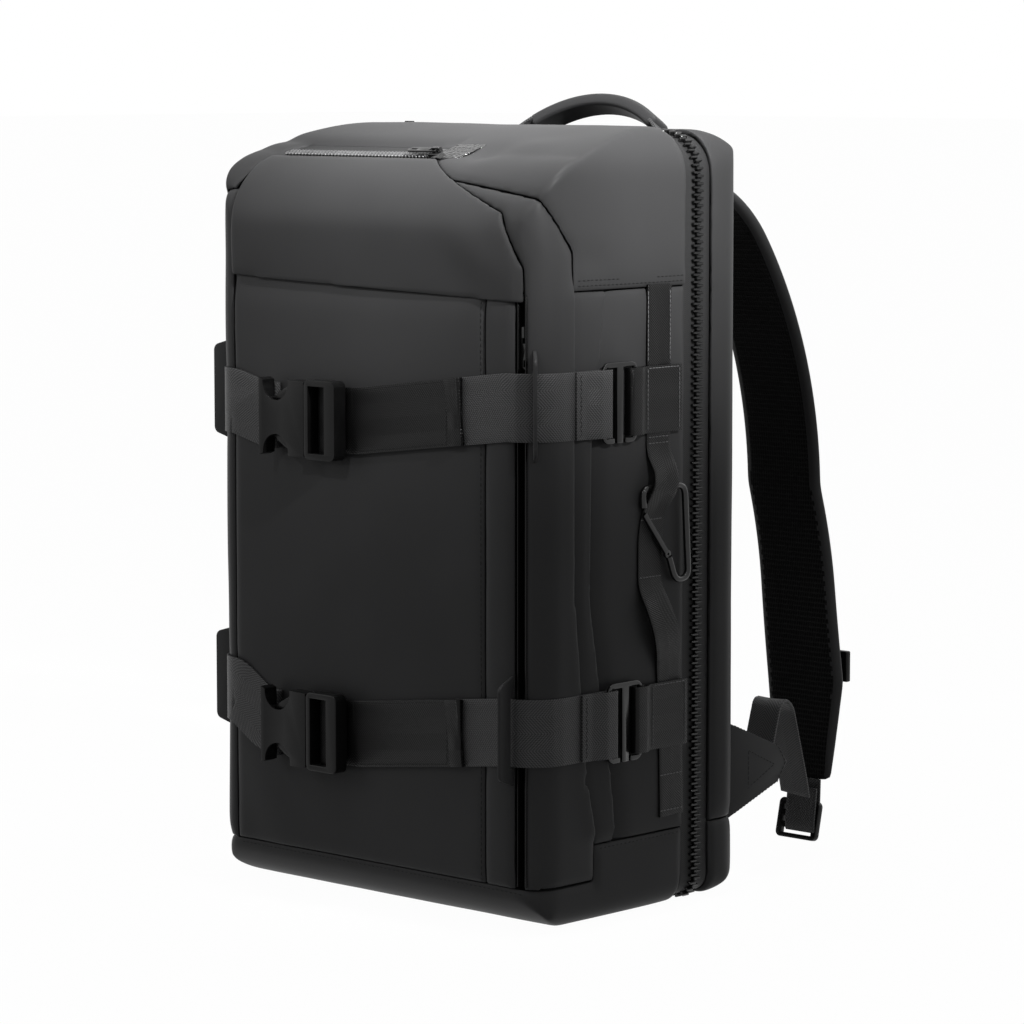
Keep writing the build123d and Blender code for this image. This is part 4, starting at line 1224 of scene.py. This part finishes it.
grip = ribbon("handle_padding", handle_arc(0.145, 0.855), HANDLE_SIDE, 18.0, 9.0, edge=3.9)
subdivide(grip)
place(grip, "carry_handle", FABRIC, ("handle_grip",), 60)
for word, first, last in (("left", 0.0, 0.16), ("right", 0.84, 1.0)):
    leg = ribbon(f"handle_leg_{word}", handle_arc(first, last, 10), HANDLE_SIDE, 21, 2.0)
    place(leg, "carry_handle", WEBBING, ("handle_webbing",))


def plumped(name, node_name, voxel=5.0, pressure=4.0, frames=14, cap=4.0, shrink=1.0):
    """Foam under fabric: a solid's copy, remeshed and blown up a little as cloth."""
    pad = cad_copy(name, node_name)
    modify(pad, "REMESH", mode="VOXEL", voxel_size=voxel * MM)
    start = points_of(pad) - normals_of(pad) * shrink * MM
    move_points(pad, start)
    pick(pad)
    mod = pad.modifiers.new("Cloth", "CLOTH")
    mod.settings.use_pressure = True
    mod.settings.uniform_pressure_force = pressure
    mod.settings.effector_weights.gravity = 0
    mod.settings.bending_stiffness = 4
    mod.point_cache.frame_start, mod.point_cache.frame_end = 1, frames
    for step in range(1, frames + 1):
        bpy.context.scene.frame_set(step)
    bpy.ops.object.modifier_apply(modifier=mod.name)
    bpy.context.scene.frame_set(1)
    shift = points_of(pad) - start
    size = np.maximum(np.linalg.norm(shift, axis=1, keepdims=True), 1e-9)
    move_points(pad, start + shift * np.minimum(1, cap * MM / size))
    modify(pad, "SMOOTH", factor=0.5, iterations=4)
    subdivide(pad)
    return pad


back_padding = plumped("back_padding", "back_pad")
place(back_padding, "back_half", MESH, ("back_pad",), 60)


# ---- Pocket zips -------------------------------------------------------------------------------

# The top pocket's mouth: its middle, square to its face, and along the face to the back
MOUTH_SLOPE = math.radians(20.3)
MOUTH = Vector((0, -53.0, 497.5))
MOUTH_UP = Vector((0, -math.sin(MOUTH_SLOPE), math.cos(MOUTH_SLOPE)))
MOUTH_IN = Vector((0, math.cos(MOUTH_SLOPE), math.sin(MOUTH_SLOPE)))
SMALL_PITCH, COIL_PITCH = 3.2, 2.3
mouth_line = np.array([(x, *(MOUTH - MOUTH_UP * 0.6)[1:]) for x in np.linspace(-133, 46, 40)])
piece = ribbon("top_tape", mouth_line, tuple(MOUTH_IN), 33, 1.0, across=6)
place(piece, "front_half", TAPE, ("top_zip_tape",))
tooth = one_tooth(2.1, 4.6, 2.0)
frames = []
for side in (-1, 1):
    for x in np.arange(-130, 15, SMALL_PITCH):
        across = MOUTH_IN * -side
        seat = MOUTH + MOUTH_UP * 0.2 - across * 1.5
        seat.x = x + SMALL_PITCH / 4 * side
        frames.append(axes_at(seat, across.cross(MOUTH_UP), across, MOUTH_UP))
place(repeated("top_teeth", tooth, frames), "front_half", SMALL_TEETH, ("top_zip_teeth",))
bpy.data.objects.remove(tooth)

# The stiff glossy patch sewn over the top zip's end
patch = block("zip_end_patch", (25, 25, 1.4), 0.6, 3)
spots = points_of(patch)
spots[:, 0] += 0.18 * spots[:, 1]
turn = np.array([ALONG_X, tuple(MOUTH_IN), tuple(MOUTH_UP)])
middle = MOUTH + MOUTH_UP * 4.2 + Vector((35, 0, 0))
move_points(patch, spots @ turn + np.array(middle) * MM)
place(patch, "front_half", patch_film())

# Front pocket zip: coil, tape and the sides of the channel that it lies in, near-black as painted
# shade in the recess
CHANNEL_X, CHANNEL_Y = 135.0, -94.0
CHANNEL_LOW, CHANNEL_HIGH = 30, 413


def channel_strip(name, x, y, side, width, thick):
    """A strip over the whole height of the zip's channel."""
    upright = divided([(x, y, CHANNEL_LOW), (x, y, CHANNEL_HIGH)], 12)
    return ribbon(name, upright, side, width, thick, across=4)


place(channel_strip("front_tape", CHANNEL_X, CHANNEL_Y + 0.7, ALONG_X, 7.8, 1.1),
      "front_half", TAPE, ("front_zip_chain",))
loop = one_tooth(1.5, 3.4, 1.4)
frames = [axes_at((CHANNEL_X, CHANNEL_Y + 0.1, z), ALONG_Z, ALONG_X, (0, -1, 0))
          for z in np.arange(CHANNEL_LOW + 3, CHANNEL_HIGH - 2, COIL_PITCH)]
place(repeated("front_coil", loop, frames), "front_half", TEETH)
bpy.data.objects.remove(loop)
# The channel's walls are near-black webbing, darker than the fabric round them: painted shade inside
# the recess.
for word, x in (("left", 131.6), ("right", 138.6)):
    place(channel_strip(f"channel_wall_{word}", x, -98.0, ALONG_Y, 8.0, 0.9), "front_half",
          BLACK_WEBBING)


# ---- Inside --------------------------------------------------------------------------------------

def sleeve_part(name, run, side, width, thick, finish=LINING, nodes=(), **settings):
    place(ribbon(name, run, side, width, thick, **settings), "back_half", finish, nodes)


softened("frame_board", "frame_sheet", "back_half", 0.5, finish=SHEET)
sleeve = points_of(NODES["laptop_sleeve"]) / MM
(_, front_y, low_z), (_, rear_y, sleeve_high) = sleeve.min(0), sleeve.max(0)
face_y, sleeve_low = front_y + 1.6, low_z + 1
sleeve_y, sleeve_deep = (front_y + rear_y) / 2, rear_y - front_y - 1
bulge = [(0, face_y - 3.0 * math.sin(math.pi * t), sleeve_low + t * (sleeve_high - sleeve_low))
         for t in np.linspace(0, 1, 18)]
sleeve_part("sleeve_face", bulge, ALONG_X, 228, 2.8, nodes=("laptop_sleeve",), across=16)
for word, x in (("left", -113.6), ("right", 113.6)):
    upright = divided([(x, sleeve_y, sleeve_low), (x, sleeve_y, sleeve_high)], 14)
    sleeve_part(f"sleeve_side_{word}", upright, ALONG_Y, sleeve_deep, 1.4)
level_run = divided([(-114, sleeve_y, sleeve_low), (114, sleeve_y, sleeve_low)], 14)
sleeve_part("sleeve_floor", level_run, ALONG_Y, sleeve_deep, 1.4)
hem = divided([(-115, face_y, sleeve_high - 4), (115, face_y, sleeve_high - 4)], 14)
sleeve_part("sleeve_binding", hem, ALONG_Z, 11, 4.2, WEBBING, edge=0.9)
bpy.data.objects.remove(STITCH)


# ---- Stage, light and camera -------------------------------------------------------------------

def share_shown(tree):
    """1 for the rays that should meet the pale surroundings: seen, mirrored or seen through."""
    rays = node(tree, "ShaderNodeLightPath").outputs
    mirrored = maths(tree, "MAXIMUM", rays["Is Camera Ray"], rays["Is Glossy Ray"])
    return maths(tree, "MAXIMUM", mirrored, rays["Is Transmission Ray"])


def mixed_in(tree, share, first, second, surface):
    """Send a mix of two shaders to an output's surface."""
    mix = node(tree, "ShaderNodeMixShader")
    tree.links.new(share, mix.inputs["Fac"])
    tree.links.new(first.outputs[0], mix.inputs[1])
    tree.links.new(second.outputs[0], mix.inputs[2])
    tree.links.new(mix.outputs[0], surface)


FLOOR_GREY, FLOOR_GLOW, FLOOR_SHOWN = 0.22, 1.06, 0.92
WORLD_SEEN, WORLD_LIGHT = 1.0, 0.27
LENS = 4023 / 1024 * 36               # long, so that the bag's edges stay nearly parallel


def studio_floor():
    """A pale floor that reads as white and keeps the bag's shadow."""
    bpy.ops.mesh.primitive_plane_add(size=60, location=(0, 0, -0.0006))
    floor = bpy.context.object
    floor.name = "studio_floor"
    mat, tree, bsdf = shader("studio_floor", (FLOOR_GREY,) * 3, 0.9)
    glow = node(tree, "ShaderNodeEmission", Strength=FLOOR_GLOW)
    shown = maths(tree, "MULTIPLY", share_shown(tree), FLOOR_SHOWN)
    mixed_in(tree, shown, bsdf, glow, tree.nodes["Material Output"].inputs["Surface"])
    floor.data.materials.append(mat)


def studio_world():
    """White to the camera and in reflections, and a dim even light for the bag."""
    world = bpy.data.worlds.new("studio")
    bpy.context.scene.world = world
    world.use_nodes = True
    tree = world.node_tree
    tree.nodes.clear()
    out = node(tree, "ShaderNodeOutputWorld")
    seen = node(tree, "ShaderNodeBackground", Strength=WORLD_SEEN)
    lit = node(tree, "ShaderNodeBackground", Strength=WORLD_LIGHT)
    for sky in (seen, lit):
        sky.inputs["Color"].default_value = (1, 1, 1, 1)
    mixed_in(tree, share_shown(tree), lit, seen, out.inputs["Surface"])


def lamp(name, kind, place_at, aim, power, **settings):
    light = bpy.data.lights.new(name, kind)
    light.energy = power
    for key, value in settings.items():
        setattr(light, key, value)
    holder = new_object(name, light)
    holder.location = place_at
    holder.rotation_euler = (Vector(aim) - Vector(place_at)).to_track_quat("-Z", "Y").to_euler()


def softbox(name, place_at, aim, size, power):
    lamp(name, "AREA", place_at, aim, power, shape="RECTANGLE", size=size[0], size_y=size[1])


def pool(name, place_at, aim, opening, power):
    """A soft-edged pool of light over the upper part of the bag."""
    lamp(name, "SPOT", place_at, aim, power, shadow_soft_size=0.09,
         spot_size=math.radians(opening), spot_blend=1.0)


studio_floor()
studio_world()
softbox("key_left", (-1.5, -1.6, 1.3), (0, 0, 0.3), (1.2, 1.2), 8)
softbox("overhead", (0.1, 0.05, 1.6), (0, 0, 0.4), (1.0, 0.9), 11)
softbox("rim_back", (0.6, 2.2, 1.2), (0, 0, 0.3), (1.6, 1.2), 4)
pool("upper_right", (2.2, -0.5, 1.7), (0.14, 0.0, 0.535), 9.5, 820)
pool("upper_left", (0.2, -1.9, 1.9), (0.01, -0.09, 0.500), 9.5, 200)
pool("crown_pool", (0.1, 0.0, 2.6), (0.02, -0.01, 0.5), 10, 300)

camera_data = bpy.data.cameras.new("camera")
camera_data.sensor_width = 36
camera_data.lens = LENS
camera = new_object("camera", camera_data)
turn, tilt = math.radians(43), math.radians(6.4)
towards = Vector((math.sin(turn) * math.cos(tilt), -math.cos(turn) * math.cos(tilt),
                  math.sin(tilt)))
camera.location = (1.8745, -1.9760, 0.5610)
camera.rotation_euler = towards.to_track_quat("Z", "Y").to_euler()
bpy.context.scene.camera = camera
bpy.context.scene.view_settings.view_transform = "Standard"
